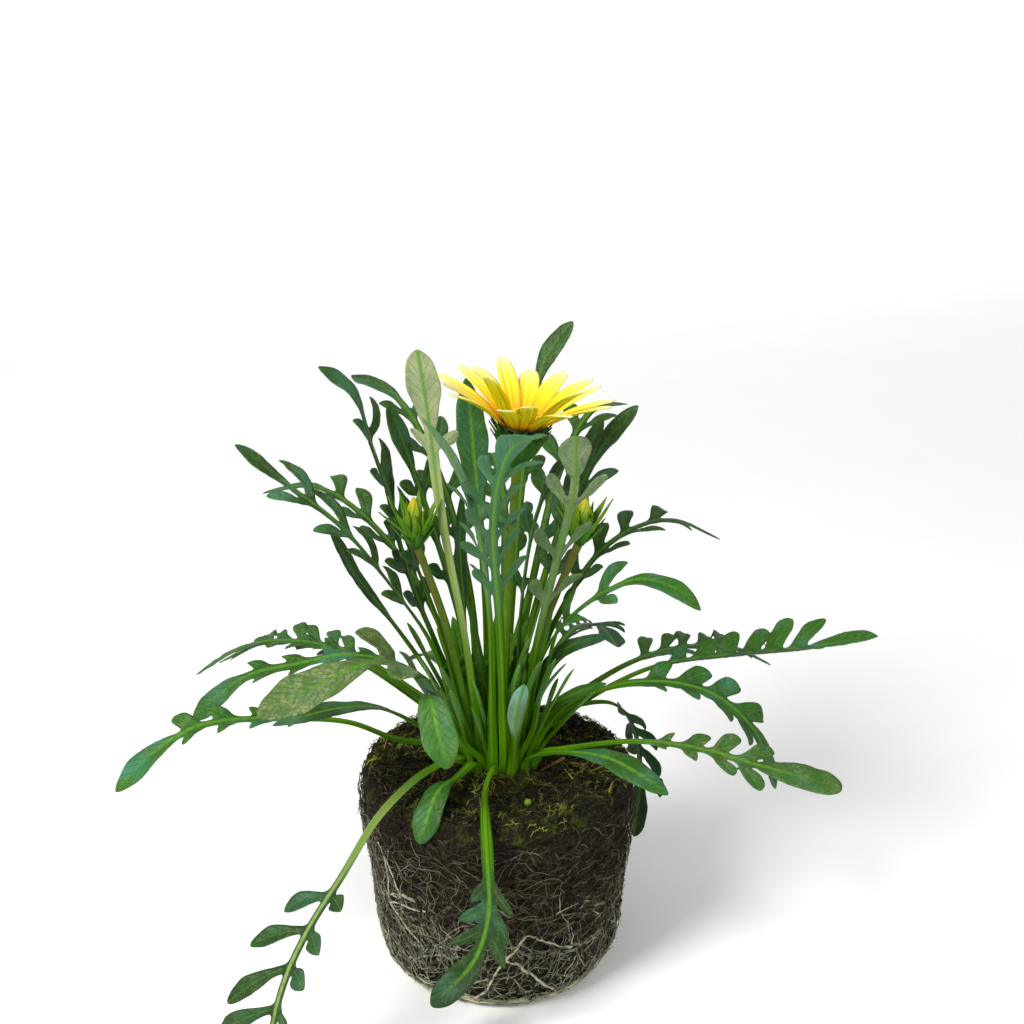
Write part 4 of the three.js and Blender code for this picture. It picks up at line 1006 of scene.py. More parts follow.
def flank(turn, height):
    """The flank's radius before its crumbs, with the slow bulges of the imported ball."""
    radius = np.interp(height, *BALL_PROFILE.T)
    row = np.interp(height, BALL_PROFILE[:, 0], np.arange(8))
    inner = ease(height, 0, 3) * ease(-height, -BALL_HEIGHT, -70)
    return radius + 0.7 * np.sin(3 * turn + row) * np.cos(7 * turn - 2 * row) * inner


def on_flank(turn, height, proud=0.0):
    """Points on the flank. Positive proud stands them out of it, in millimetres."""
    radius = flank(turn, height) + proud
    return np.stack([radius * np.cos(turn), radius * np.sin(turn), height], -1)


BALL_SIDES = 300
levels = np.concatenate([np.linspace(0, 4, 6)[:-1], np.linspace(4, BALL_HEIGHT, 80)])
height, turn = np.meshgrid(levels, round_turns(BALL_SIDES), indexing="ij")
wall = on_flank(turn, height)
rough = lumps(wall.reshape(-1, 3) * [1, 1, 1.7], 3.2, 5).reshape(height.shape)
slow = lumps(wall.reshape(-1, 3), 14, 2).reshape(height.shape)
proud = (1.7 * rough + 1.1 * slow - 0.4) * ease(height, 0, 3)
wall = on_flank(turn, height, proud)
wall[0, :, 2] = 0
caps = [(wall[0] * [s, s, 1]) for s in (0, 0.3, 0.6, 0.85)]
top = [wall[-1] * [s, s, 0] + [0, 0, BALL_HEIGHT] for s in (0.9, 0.6, 0.3, 0)]
rows = np.stack([*caps, *wall, *top])
ball = Piece("peat_ball", "root_soil", [PEAT])
ball.add(rows.reshape(-1, 3), weave(len(rows), BALL_SIDES, True)[:, ::-1])
ball.make(replaces="root_ball")

# %% The tracks of the roots


def packed_draw(seed):
    """The same stream of numbers from 0 to 1 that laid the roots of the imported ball."""
    state = seed
    while True:
        state = state * 48271 % 2147483647
        yield state / 2147483647


def main_tracks():
    """Turns and heights along each of the main roots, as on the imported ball."""
    draw = packed_draw(31)
    share = np.linspace(0, 1, 7)
    for root in range(22):
        start = 2 * math.pi * (root + 0.6 * next(draw)) / 22
        level = 9 + 42 * next(draw)
        climb = (next(draw) - 0.5) * 50
        sweep = (-1 if next(draw) < 0.5 else 1) * (0.5 + 0.6 * next(draw))
        phase = 6 * next(draw)
        yield start + sweep * share, np.clip(level + climb * share + 3 * np.sin(phase + 5 * share), 5, 66)


def wander(start, level, heading, length, kink):
    """A root's own track: small steps along the flank, each turned a little from the last."""
    steps = max(5, int(length / 2.6))
    turns = heading + np.cumsum(dice.normal(0, kink, steps))
    turns += 0.5 * np.sin(np.arange(steps) * dice.uniform(0.25, 0.6) + dice.uniform(0, 6))
    step = length / steps
    heights = np.clip(level + np.cumsum(step * np.sin(turns)), 1.2, 70)
    return start + np.cumsum(step * np.cos(turns)) / MIDDLE_RADIUS, heights


def lay_root(piece, turns, heights, thick, tone, sides=4, proud=0.35):
    waver = 0.35 * np.sin(np.arange(len(turns)) * 1.7 + 10 * tone)
    points = on_flank(turns, heights, proud + waver)
    taper = np.linspace(1, 0.45, len(turns)) * (1 + 0.15 * np.sin(np.arange(len(turns)) * 2.3))
    piece.add(*tube(points, thick * taper, sides, unit(points * [1, 1, 0])), tone=tone)


net = Piece("root_net", "root_soil", [ROOTS])
for turns, heights in main_tracks():
    fine = np.linspace(0, 1, 25)
    t_fine = np.interp(fine, np.linspace(0, 1, 7), turns)
    h_fine = np.interp(fine, np.linspace(0, 1, 7), heights) + np.cumsum(dice.normal(0, 0.35, 25))
    low = 1 - ease(heights.mean(), 25, 60)
    lay_root(net, t_fine, h_fine, 0.3 + 0.26 * low, dice.uniform(0.1, 0.45), sides=6, proud=0.3)
    for branch in range(4):
        at = dice.integers(3, 22)
        way = dice.uniform(-1.1, 1.1) + either_way()
        track = wander(t_fine[at], h_fine[at], way, dice.uniform(10, 26), 0.3)
        lay_root(net, *track, 0.3, dice.uniform(0.2, 0.55))

# %% The thickest roots
# Each goes through places on the flank, (turn in degrees, height), and is drawn a little crooked.
THICK_ROOTS = [
    (0.5, [(282, 34), (278, 28.5), (273, 24.5), (280, 22), (287, 16), (299, 6)]),
    (0.4, [(273, 24.5), (268, 17), (265, 10), (258, 4)]),
    (0.28, [(282, 34), (289, 31.5), (298, 26), (306, 24)]),
    (0.3, [(215, 56), (216, 45), (215, 36), (222, 31), (228, 26), (234, 22)]),
    (0.26, [(212, 60), (220, 48), (224, 39)]), (0.3, [(215, 36), (224, 39), (229, 39), (238, 40.5)]),
    (0.4, [(96, 40), (104, 28), (100, 16), (88, 7)]), (0.34, [(20, 44), (28, 30), (40, 22), (46, 8)]),
]
for thick, places in THICK_ROOTS:
    fine = np.linspace(0, len(places) - 1, 8 * len(places))
    turns, heights = (np.interp(fine, range(len(places)), column) for column in np.array(places, float).T)
    crooked = np.cumsum(dice.normal(0, 0.2, len(fine)))
    crooked -= np.linspace(0, crooked[-1], len(fine))
    points = on_flank(np.radians(turns + crooked), heights + crooked, 0.75)
    taper = 1 + 0.2 * lumps(points, 3, 2)
    net.add(*tube(points, thick * taper, 7, unit(points * [1, 1, 0])), tone=0.42 + 0.1 * thick)

# %% The net of fine roots and the mat at the bottom
NET_ROOTS = 1350
STEEP_ROOTS = 460
MAT_STRANDS = 330
for root in range(NET_ROOTS):
    level = 72 * dice.beta(1.0, 2.2)
    low = 1 - ease(level, 12, 36)
    sideways = dice.normal(0, 0.8) + either_way()
    thick = dice.uniform(0.08, 0.17) + low * dice.uniform(0.02, 0.24) * dice.random()
    start = any_turn()
    track = wander(start, level, sideways, dice.uniform(8, 34), 0.5)
    # The roots on the right-front side, away from the key lamp, get a lower tone: this darkening is painted
    # shade.
    tone = dice.uniform(-0.05, 0.36) + 0.18 * low - 0.1 * max(0, math.cos(start + 0.6))
    lay_root(net, *track, thick, tone, sides=3, proud=dice.uniform(0.2, 1.3))
for root in range(STEEP_ROOTS):  # they crowd on one side, and run steeply there
    steep = dice.normal(1.25, 0.45) * (1 if dice.random() < 0.5 else -1)
    start, level = math.radians(dice.normal(190, 22)), dice.uniform(3, 62)
    track = wander(start, level, steep, dice.uniform(6, 22), 0.6)
    thick, tone = dice.uniform(0.07, 0.17), dice.uniform(0.0, 0.42)
    lay_root(net, *track, thick, tone, sides=3, proud=dice.uniform(0.3, 1.4))
for strand in range(MAT_STRANDS):
    start, level = any_turn(), abs(dice.normal(0.4, 1.5)) + 0.5
    turns = start + np.linspace(0, dice.uniform(0.3, 1.1), 14)
    heights = np.clip(level + np.cumsum(dice.normal(0, 0.35, 14)), 0.6, 7)
    thick, tone = dice.uniform(0.2, 0.5), dice.uniform(0.4, 0.72)
    lay_root(net, turns, heights, thick, tone, proud=dice.uniform(-0.3, 0.7))
net.make()

# %% [markdown]
# ## Peat fibres, moss and crumbs
# Peat is made of short brown fibres, and they bristle out of the flank. The top of the ball has been damp for
# months, so moss has spread over it in yellow-green wisps, with crumbs of peat and bits of straw on it.
# Each is a small tube or a stone-like lump, strewn by a seeded draw, thick enough to keep its own shadow.

# %% Fibres on the flank
fibre_paint = Paint("peat_fibre", Roughness=0.85, Specular_IOR_Level=0.2)
FIBRE = fibre_paint.finish(fibre_paint.ramp(fibre_paint.stored("tone"), [
    (0.0, 18, 15, 10), (0.5, 52, 44, 31), (0.8, 94, 84, 60), (1.0, 140, 130, 98),
]), fibre_paint.cloud(0.4), 0.1)

FLANK_FIBRES = 4200
fibres = Piece("peat_fibres", "root_soil", [FIBRE])
share = np.linspace(0, 1, 4)
for fibre in range(FLANK_FIBRES):
    start, level = any_turn(), 73 * dice.beta(1.3, 1.0)
    heading = dice.normal(0, 0.85) + either_way()
    length = dice.uniform(1.8, 6)
    turns = start + share * length * math.cos(heading) / MIDDLE_RADIUS
    heights = np.clip(level + share * length * math.sin(heading) + 0.5 * np.sin(4 * share), 0.5, 74)
    lift = dice.uniform(-0.2, 0.9) + dice.uniform(0, 1.6) * share**2 * (dice.random() < 0.35)
    points = on_flank(turns, heights, 0.3 + lift)
    thick = dice.uniform(0.1, 0.2) * np.array([0.6, 1, 0.9, 0.3])
    fibres.add(*tube(points, thick, 3, unit(points * [1, 1, 0])), tone=dice.beta(1.6, 2))
fibres.make()

# %% The mossy top
moss_paint = Paint("moss_and_soil", Roughness=0.95, Specular_IOR_Level=0.12)
patch = moss_paint.cloud(11, detail=4.0, rough=0.65)
grit = moss_paint.cloud(1.2, detail=5.0, rough=0.7)
soil = moss_paint.ramp(grit, [(0.3, 12, 11, 6), (0.55, 34, 30, 18), (0.8, 76, 66, 40)])
moss = moss_paint.ramp(grit, [(0.3, 24, 28, 8), (0.55, 56, 64, 18), (0.8, 108, 112, 34)])
MOSS = moss_paint.finish(moss_paint.mix(moss_paint.band(patch, 0.5, 0.6), soil, moss), grit, 1.2)

wisp_paint = Paint("moss_wisp", Roughness=0.7, Specular_IOR_Level=0.25, Subsurface_Weight=0.1,
                   Subsurface_Scale=0.0008)
WISP = wisp_paint.finish(wisp_paint.ramp(wisp_paint.stored("tone"), [
    (0.0, 34, 32, 14), (0.45, 78, 82, 24), (0.8, 132, 142, 36), (1.0, 196, 196, 72),
]), wisp_paint.cloud(0.5), 0.1)

MAT_SIDES = 260
reaches = np.concatenate([np.linspace(0, 44, 56), [45.5, 46.8, 47.6, 47.8, 47.2]])
drop = np.concatenate([np.zeros(56), [-0.5, -1.4, -2.8, -4.6, -6.6]])
row, turn = np.meshgrid(np.arange(len(reaches)), round_turns(MAT_SIDES), indexing="ij")
reach = reaches[row]
mat = np.stack([reach * np.cos(turn), reach * np.sin(turn), 0 * reach], -1)
coarse = lumps(mat.reshape(-1, 3), 9, 2).reshape(reach.shape)
crumbly = lumps(mat.reshape(-1, 3) + 50, 2.2, 4).reshape(reach.shape)


def mat_height(x, y):
    """The height of the mat's top at a point, for what lies on it."""
    reach = np.hypot(x, y)
    point = [[x, y, 0.0]]
    slope = np.interp(reach, [44, 45.5, 46.8, 47.6], [0, -0.5, -1.4, -2.8])
    return SOIL_LEVEL + 1.3 + 1.3 * lumps(point, 9, 2)[0] + slope + 2.4 * ease(-reach, -24, -15.5)


rise = SOIL_LEVEL + 1.3 + 1.3 * coarse + 1.2 * crumbly + drop[row] + 2.4 * ease(-reach, -24, -15.5)
mat[..., 2] = np.maximum(rise, np.where(reach < 47, 74.6, 0))
push = 1 + 0.9 * crumbly / 47 * (reach > 44)
mat[..., :2] *= push[..., None]
under = np.stack([mat[-1] * [s, s, 0] + [0, 0, 74.4] for s in (0.93, 0)])
rows = np.concatenate([mat, under])
moss_top = Piece("mossy_top", "moss", [MOSS])
moss_top.add(rows.reshape(-1, 3), weave(len(rows), MAT_SIDES, True))
moss_top.make(replaces="moss_mat")

# %% Wisps of moss
MOSS_TUFTS = 230
SPRIGS = 20
wisps = Piece("moss_wisps", "moss", [WISP])


def add_wisp(start, way, length, thick, tone):
    """A strand that lies over the mat, with tiny leaflets on both sides."""
    share = np.linspace(0, 1, 5)
    bend = way + dice.uniform(-0.9, 0.9) * share + 0.25 * np.sin(9 * share + way)
    spots = start + np.cumsum(np.stack([np.cos(bend), np.sin(bend)], 1) * length / 5, axis=0)
    reach = np.hypot(*spots.T)
    spots[reach > 47.6] *= (47.6 / reach[reach > 47.6])[:, None]
    lift = 0.6 + dice.uniform(0.2, 1.6) * np.sin(2.6 * share)
    points = np.column_stack([spots, np.array([mat_height(*spot) for spot in spots]) + lift])
    wisps.add(*tube(points, thick * np.array([0.8, 1.1, 1, 0.7, 0.25]), 3), tone=tone)
    for leaflet in range(1, 4):
        side = bend[leaflet] + (0.9 if leaflet % 2 else -0.9)
        tip = points[leaflet] + np.array([math.cos(side), math.sin(side), 0.25]) * 0.2 * length
        wisps.add(*tube([points[leaflet], tip], [thick, 0.3 * thick], 3), tone=min(1, tone + 0.1))


for tuft in range(MOSS_TUFTS):
    spot = drawn_spot(46.8, 0.1)
    bright = dice.uniform(0, 0.4) + 0.36 * (noise.noise(Vector((*spot, 0)) / 12) > 0.08)
    for strand in range(dice.integers(3, 9)):
        start = spot + dice.normal(0, 1.8, 2)
        tone = np.clip(bright + dice.normal(0, 0.12), 0, 1)
        add_wisp(start, any_turn(), dice.uniform(1.8, 6), dice.uniform(0.1, 0.19), tone)
for sprig in range(SPRIGS):
    start, way = drawn_spot(46, 0.25), any_turn()
    for part in range(3):
        at = start + dice.normal(0, 1.5, 2)
        add_wisp(at, way + dice.normal(0, 0.6), dice.uniform(3, 6), 0.14, dice.uniform(0.6, 0.85))
wisps.make()

# %% Fibres over the top
TOP_FIBRES = 2900
top_fibres = Piece("top_fibres", "moss", [FIBRE])
for fibre in range(TOP_FIBRES):
    spot = drawn_spot(47.4, 0.1)
    way, length = any_turn(), dice.uniform(1.5, 6)
    bend = way + dice.uniform(-1.2, 1.2) * share
    spots = np.cumsum(np.stack([np.cos(bend), np.sin(bend)], 1) * length / 4, axis=0) + spot
    far = np.hypot(*spots.T)
    spots[far > 47.9] *= (47.9 / far[far > 47.9])[:, None]
    height = mat_height(*spots[1]) + dice.uniform(0.2, 1.0)
    height = height + dice.uniform(0, 1.6) * share**2 * (dice.random() < 0.3)
    points = np.column_stack([spots, height - 2.4 * ease(np.hypot(*spots.T), 45.5, 48)])
    thick = dice.uniform(0.08, 0.17) * np.array([0.7, 1, 0.9, 0.35])
    top_fibres.add(*tube(points, thick, 3), tone=dice.beta(1.5, 2.1))
top_fibres.make()

# %% Straw, crumbs and a seed
straw_paint = Paint("straw", Roughness=0.6, Specular_IOR_Level=0.3)
STRAW = straw_paint.finish(straw_paint.ramp(straw_paint.stored("tone"), [
    (0.0, 20, 16, 10), (0.25, 46, 34, 20), (0.5, 104, 76, 38), (0.78, 168, 134, 70),
    (1.0, 206, 182, 118),
]), straw_paint.cloud(0.4, detail=3.0), 0.2)
seed_paint = Paint("green_seed", Roughness=0.5, Specular_IOR_Level=0.3)
GREEN_SEED = seed_paint.finish(seed_paint.ramp(seed_paint.cloud(0.8), [
    (0.3, 76, 112, 24), (0.7, 126, 158, 52),
]), seed_paint.cloud(0.3), 0.1)
STRAWS = 44
CRUMBS = 560
litter = Piece("straw_and_crumbs", "moss", [STRAW, GREEN_SEED])
share = np.linspace(-0.5, 0.5, 5)
for straw in range(STRAWS):
    spot = drawn_spot(44, 0.13)
    way, length = any_turn(), dice.uniform(2.5, 9)
    spots = spot + share[:, None] * length * np.array([math.cos(way), math.sin(way)])
    height = max(mat_height(*spot) for spot in spots) + 0.7
    points = np.column_stack([spots, height + 0.3 * np.cos(3 * share) + dice.normal(0, 0.3) * share])
    litter.add(*tube(points, dice.uniform(0.12, 0.34), 5), tone=dice.beta(1.4, 2.4))
pebble = turned([(0.02, -0.8), (0.9, -0.35), (0.85, 0.35), (0.02, 0.75)], 8)
pebble_faces = weave(4, 8, True)[:, ::-1]
for number in range(CRUMBS):
    spot = drawn_spot(46.5, 0.08)
    size = dice.uniform(0.3, 0.9)
    lump = pebble * (1 + 0.6 * lumps(pebble + number, 0.7, 2))[:, None] * size
    litter.add(lump + [*spot, mat_height(*spot) + 0.5], pebble_faces, tone=dice.uniform(0, 0.28))
stick = np.array([(14.4, -9.6, 0.7), (17, -7, 1.0), (20, -4.6, 1.3), (23.4, -2, 1.8)])
stick[:, 2] += SOIL_LEVEL + 2.2
litter.add(*tube(stick, [0.25, 0.42, 0.6, 0.8], 7), tone=0.55)
turns, rise = round_turns(14), np.linspace(-np.pi / 2, np.pi / 2, 9)[:, None]
seed = np.stack([np.cos(rise) * np.cos(turns), np.cos(rise) * np.sin(turns), np.sin(rise) + 0 * turns], -1)
SEED_SPOT = (10.3, -29.5)
SEED_RADIUS = 1.35
seed_at = [*SEED_SPOT, mat_height(*SEED_SPOT) + 1.5]
litter.add(SEED_RADIUS * seed.reshape(-1, 3) + seed_at, weave(9, 14, True)[:, ::-1], 1, tone=0)
litter.make()

# %% [markdown]
# ## The crown
# The crown is the short rootstock that all the stalks sprout from. On the real plant it hardly shows: the
# stalks' sheaths hide it and moss creeps up to them. So it is only a low, lumpy dark mound here, a turned
# profile pushed in and out by noise.

# %% The crown
CROWN_SIDES = 72
CROWN_PROFILE = [
    (0, 75.6), (14, 75.6), (16.4, 76.4), (16.2, 78.2), (14, 79.6), (9, 80.2), (4, 80.6), (0, 80.7),
]
crown_paint = Paint("crown_base", Roughness=0.7, Specular_IOR_Level=0.3)
CROWN = crown_paint.finish(crown_paint.ramp(crown_paint.cloud(2, detail=4.0), [
    (0.3, 40, 34, 16), (0.55, 78, 84, 26), (0.75, 116, 132, 40),
]), crown_paint.cloud(0.8, detail=4.0), 0.6)
mound = turned(CROWN_PROFILE, CROWN_SIDES)
mound = mound + unit(mound - [0, 0, 75]) * (0.6 * lumps(mound, 2.5, 3))[:, None]
crown = Piece("crown_mound", "young_stem", [CROWN])
crown.add(mound, weave(len(CROWN_PROFILE), CROWN_SIDES, True)[:, ::-1])
crown.make(replaces="crown")

# %% [markdown]
# ## The open flower
# What looks like one flower is a head of many. The rays round the rim are flowers with one long petal each,
# cream at the tip and golden at the root, and they stand up in a bowl. The small ones in the middle make the
# disc. Below them a dark green cup of grown-together bracts holds the head on its stalk.
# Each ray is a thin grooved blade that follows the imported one. Its own small draw of length, lean and twist
# keeps the ring from looking stamped.

# %% Petal paint
petal_upper = Paint("petal_upper", Roughness=0.45, Specular_IOR_Level=0.3,
                    Subsurface_Weight=0.25, Subsurface_Scale=0.003, Subsurface_Radius=(1.0, 0.75, 0.2))
streak = petal_upper.cloud(1.0, at=petal_upper.scaled(petal_upper.stored_pair("flat"), (0.05, 1.6, 1.0)))
up_ray = petal_upper.times(streak, 0.14, petal_upper.stored("along"))
gold = petal_upper.ramp(petal_upper.math("SUBTRACT", up_ray, 0.07), [
    (0.0, 110, 54, 4), (0.07, 236, 140, 6), (0.2, 250, 180, 14), (0.38, 252, 210, 30),
    (0.56, 252, 222, 74), (0.76, 248, 228, 128), (0.94, 244, 230, 172),
])
PETAL_UPPER = petal_upper.finish(gold, streak, 0.16)

petal_under = Paint("petal_under", Roughness=0.55, Specular_IOR_Level=0.12,
                    Subsurface_Weight=0.2, Subsurface_Scale=0.002, Subsurface_Radius=(1.0, 0.8, 0.2))
flat = petal_under.stored_pair("flat")
streak = petal_under.cloud(1.0, at=petal_under.scaled(flat, (0.04, 1.5, 1.0)), detail=2.0)
yellow = petal_under.ramp(petal_under.stored("along"), [
    (0.0, 30, 22, 6), (0.05, 120, 66, 2), (0.12, 212, 150, 0), (0.3, 206, 188, 0),
    (0.7, 216, 204, 20), (1.0, 244, 234, 140),
])
towards_root = petal_under.band(petal_under.stored("along"), 0.95, 0.5)
stripes = petal_under.times(petal_under.band(streak, 0.48, 0.62), towards_root)
yellow = petal_under.tint(yellow, stripes, 0.6, srgb(126, 138, 8))
PETAL_UNDER = petal_under.finish(yellow, streak, 0.3)

# %% Leaning a head and turning a petal out of it
FLOWER_AT = np.array([8, 0, 203.0])
back, right = math.radians(-3.5), math.radians(6.5)
lean_back = np.array([
    [1, 0, 0], [0, math.cos(back), -math.sin(back)], [0, math.sin(back), math.cos(back)],
])
lean_right = np.array([
    [math.cos(right), 0, math.sin(right)], [0, 1, 0], [-math.sin(right), 0, math.cos(right)],
])
HEAD_TURN = (lean_back @ lean_right).T


def lean_head(points):
    """Puts points of an upright head in the flower's place, leaning as it does."""
    return points @ HEAD_TURN + FLOWER_AT


def petal_nets(turn, line, half, cup, thick, columns, twist=0.0, notch=0.0, sway=0.0):
    """Upper and lower nets of a petal. line holds (reach, height) rows, half and cup run along with it."""
    rows = len(line)
    out, side, top = outward(turn), outward(turn + math.pi / 2), np.array([0, 0, 1])
    slope = unit(np.gradient(line, axis=0))
    up = -slope[:, :1] * [0, 0, -1] - slope[:, 1:] * out
    share = np.linspace(0, 1, rows)[:, None]
    across = side * np.cos(twist * share) + up * np.sin(twist * share)
    forward = slope[:, :1] * out + slope[:, 1:] * top
    over = np.cross(forward, across)
    v = np.linspace(-1, 1, columns)
    middle = line[:, :1] * out + line[:, 1:] * top + sway * share**2 * side
    net = middle[:, None] + across[:, None] * (half[:, None] * v)[..., None]
    net = net + over[:, None] * (cup[:, None] * v**2)[..., None]
    grooves = 0.1 * half[:, None] * np.cos(3 * math.pi * v) * ease(share, 0, 0.2) * notch
    net = net + over[:, None] * grooves[..., None]
    nicks = 0.3 * notch * (1 - np.cos(3 * math.pi * v)) / 2
    pull = -(0.2 * v**2 * half.max() + nicks) * ease(share, 0.86, 1)
    net = net + forward[:, None] * pull[..., None]
    body = thick * (0.4 + 0.6 * (1 - v**2))[:, None]
    return net + over[:, None] * body, net - over[:, None] * body


def add_petal(piece, turn, line, half, cup, thick, place, **options):
    """A ray, painted on both sides. place puts its upright points where they belong."""
    upper, lower = petal_nets(turn, line, half, cup, thick, **options)
    points, faces = shell(upper, lower)
    rows, columns = upper.shape[:2]
    share, v = np.meshgrid(np.linspace(0, 1, rows), np.linspace(-1, 1, columns), indexing="ij")
    flat = np.stack([share * len(line) + 40 * turn, v * half[:, None], 0 * v], -1).reshape(-1, 3)
    net_faces = (rows - 1) * (columns - 1)
    which = np.repeat([0, 1, 1], [net_faces, net_faces, len(faces) - 2 * net_faces])
    along = np.tile(share.ravel(), 2)
    piece.add(place(points), faces, which, flat=np.tile(flat, (2, 1)), along=along)


# %% The rays
RAYS = 17
RAY_ROOT = 6.4
RAY_REACH = 33.5
RAY_HALF = 3.45
STEEP_RAYS = {11: 14, 15: 14}  # two rays at the front stand this many degrees steeper
ray_edge = Route([
    (0, 0.42, 0), (0.28, 0.82, 0), (0.52, 1, 0), (0.76, 0.92, 0), (0.9, 0.7, 0), (0.97, 0.44, 0),
    (1, 0.18, 0),
])
ray_outline = ray_edge.at(np.linspace(0, ray_edge.length, 80))[0]
rays = Piece("flower_rays", "petal", [PETAL_UPPER, PETAL_UNDER])
for ray in range(RAYS):
    turn = 2 * math.pi * ray / RAYS + dice.uniform(-0.05, 0.05)
    share = 1 - (1 - np.linspace(0, 1, 26)) ** 1.3
    length = RAY_REACH * (1 + 0.05 * math.sin(4.1 * ray)) - RAY_ROOT
    tilt = (3 if ray % 2 else -3) + dice.uniform(-2.5, 2.5) + STEEP_RAYS.get(ray, 0)
    rise = np.radians(lerp(47, 18, share) + tilt + dice.uniform(-5, 3) * share**3)
    step = np.diff(share, prepend=0) * length
    line = np.stack([RAY_ROOT + np.cumsum(step * np.cos(rise)), -0.4 + np.cumsum(step * np.sin(rise))], 1)
    half = RAY_HALF * dice.uniform(0.92, 1.08) * np.interp(share, *ray_outline[:, :2].T)
    cup = half * lerp(0.34, 0.1, share) * dice.uniform(0.7, 1.3)
    add_petal(rays, turn, line, half, cup, 0.12, lean_head, columns=13, twist=dice.uniform(-0.2, 0.2),
              notch=1.0, sway=dice.uniform(-1.2, 1.2))
rays.make(replaces="ray_florets")

# %% The disc
DISC_FLORETS = 96
DISC_SIDES = 40
DISC_PROFILE = [(0, -0.9), (7.0, -0.9), (7.2, 0.1), (6.2, 0.8), (5.2, 2.4), (2.8, 3.4), (0, 3.6)]
disc_paint = Paint("disc_floret", Roughness=0.6, Specular_IOR_Level=0.3)
DISC = disc_paint.finish(disc_paint.ramp(disc_paint.stored("along"), [
    (0.0, 34, 28, 10), (0.3, 120, 80, 12), (0.5, 196, 128, 16), (0.8, 240, 184, 30),
    (1.0, 252, 214, 70),
]), disc_paint.cloud(0.5, detail=3.0), 0.15)
disc = Piece("flower_disc", "disc", [DISC])
cushion = weave(len(DISC_PROFILE), DISC_SIDES, True)[:, ::-1]
disc.add(lean_head(turned(DISC_PROFILE, DISC_SIDES)), cushion, along=0.0)
share = np.array([0, 0.5, 0.8, 0.93, 1.0])
thick = np.array([0.3, 0.36, 0.5, 0.56, 0.2])
for floret in range(DISC_FLORETS):
    reach = 6.0 * math.sqrt((floret + 0.5) / DISC_FLORETS)
    out = outward(floret * math.radians(GOLDEN_TURN))
    root = reach * out + [0, 0, 0.8 + 2.6 * (1 - 0.35 * (reach / 6.2) ** 2) - 1.0]
    tip = root + unit(out * 0.5 * reach / 6.2 + [0, 0, 1.0]) * dice.uniform(2.0, 2.9)
    points, faces = tube(lerp(root, tip, share[:, None]), thick, 6, (1, 0.3, 0))
    disc.add(lean_head(points), faces, along=np.append(np.repeat(share, 6), [0, 1]))
disc.make(replaces="disc_florets")

# %% [markdown]
# ## Stalks, cups and buds
# A flower stalk is a round, ribbed, slightly hairy stem, olive-green and browner up under the head. Its cup
# is made of bracts grown together, whose free tips stick out in a ring. A bud is the same cup, smaller, with
# long spread bracts, and its petals still rolled in a pointed spiral.

# %% Green paints
green_paint = Paint("stalk_green", Roughness=0.6, Specular_IOR_Level=0.2,
                    Subsurface_Weight=0.05, Subsurface_Scale=0.001)
lines = green_paint.cloud(1.0, at=green_paint.scaled(green_paint.stored_pair("flat"), (0.04, 2.0, 1.0)))
shade = green_paint.times(green_paint.stored("tone"), 0.6, green_paint.times(green_paint.cloud(3), 0.3))
shade = green_paint.times(lines, 0.4, shade)
stalk_green = green_paint.ramp(shade, [
    (0.2, 8, 26, 8), (0.4, 26, 72, 4), (0.62, 56, 112, 4), (0.85, 100, 132, 16),
])
stalk_green = green_paint.mix(green_paint.stored("blush"), stalk_green, srgb(92, 62, 34))
STALK_GREEN = green_paint.finish(stalk_green, lines, 0.3)

bud_paint = Paint("bud_petal", Roughness=0.5, Specular_IOR_Level=0.35, Subsurface_Weight=0.15,
                  Subsurface_Scale=0.002)
streak = bud_paint.cloud(1.0, at=bud_paint.scaled(bud_paint.stored_pair("flat"), (0.1, 1.4, 1.0)))
up_bud = bud_paint.times(streak, 0.5, bud_paint.stored("along"))
BUD_PETAL = bud_paint.finish(bud_paint.ramp(bud_paint.math("SUBTRACT", up_bud, 0.25), [
    (0.1, 56, 92, 6), (0.4, 98, 130, 14), (0.7, 152, 160, 10), (0.95, 196, 180, 22),
]), streak, 0.3)

# %% Stalks and cups


def add_stalk(piece, points, thick, tone, blush):
    """A ribbed stalk that runs on down into the soil, and thickens towards both ends."""
    route = Route(points)
    rows, sides = 60, 20
    distances = np.linspace(SUNK, route.length, rows)
    body, faces = tube(route.at(distances)[0], 1.0, sides, (0, 1, 0.01))
    centre = np.repeat(route.at(distances)[0], sides, 0)
    ribs = 1 + 0.07 * np.cos(5 * round_turns(sides))
    share = np.repeat(np.clip(distances / route.length, 0, 1), sides)
    radius = np.interp(share, [0, 0.1, 0.9, 1], [1.25 * thick, thick, 0.92 * thick, 1.1 * thick])
    ring = body[:-2]
    ring = centre + (ring - centre) * (radius * np.tile(ribs, rows))[:, None]
    flat = np.column_stack([share * route.length, np.tile(np.arange(sides) * 1.3, rows), 0 * share])
    flat = np.vstack([flat, flat[:1], flat[-1:]])
    one_side = 0.6 + 0.4 * np.cos(flat[:, 1] / 1.3 * 2 * np.pi / sides)
    red = blush * ease(flat[:, 0] / route.length, 0.3, 0.9) * one_side
    piece.add(np.vstack([ring, body[-2:]]), faces, flat=flat, tone=tone, blush=red)


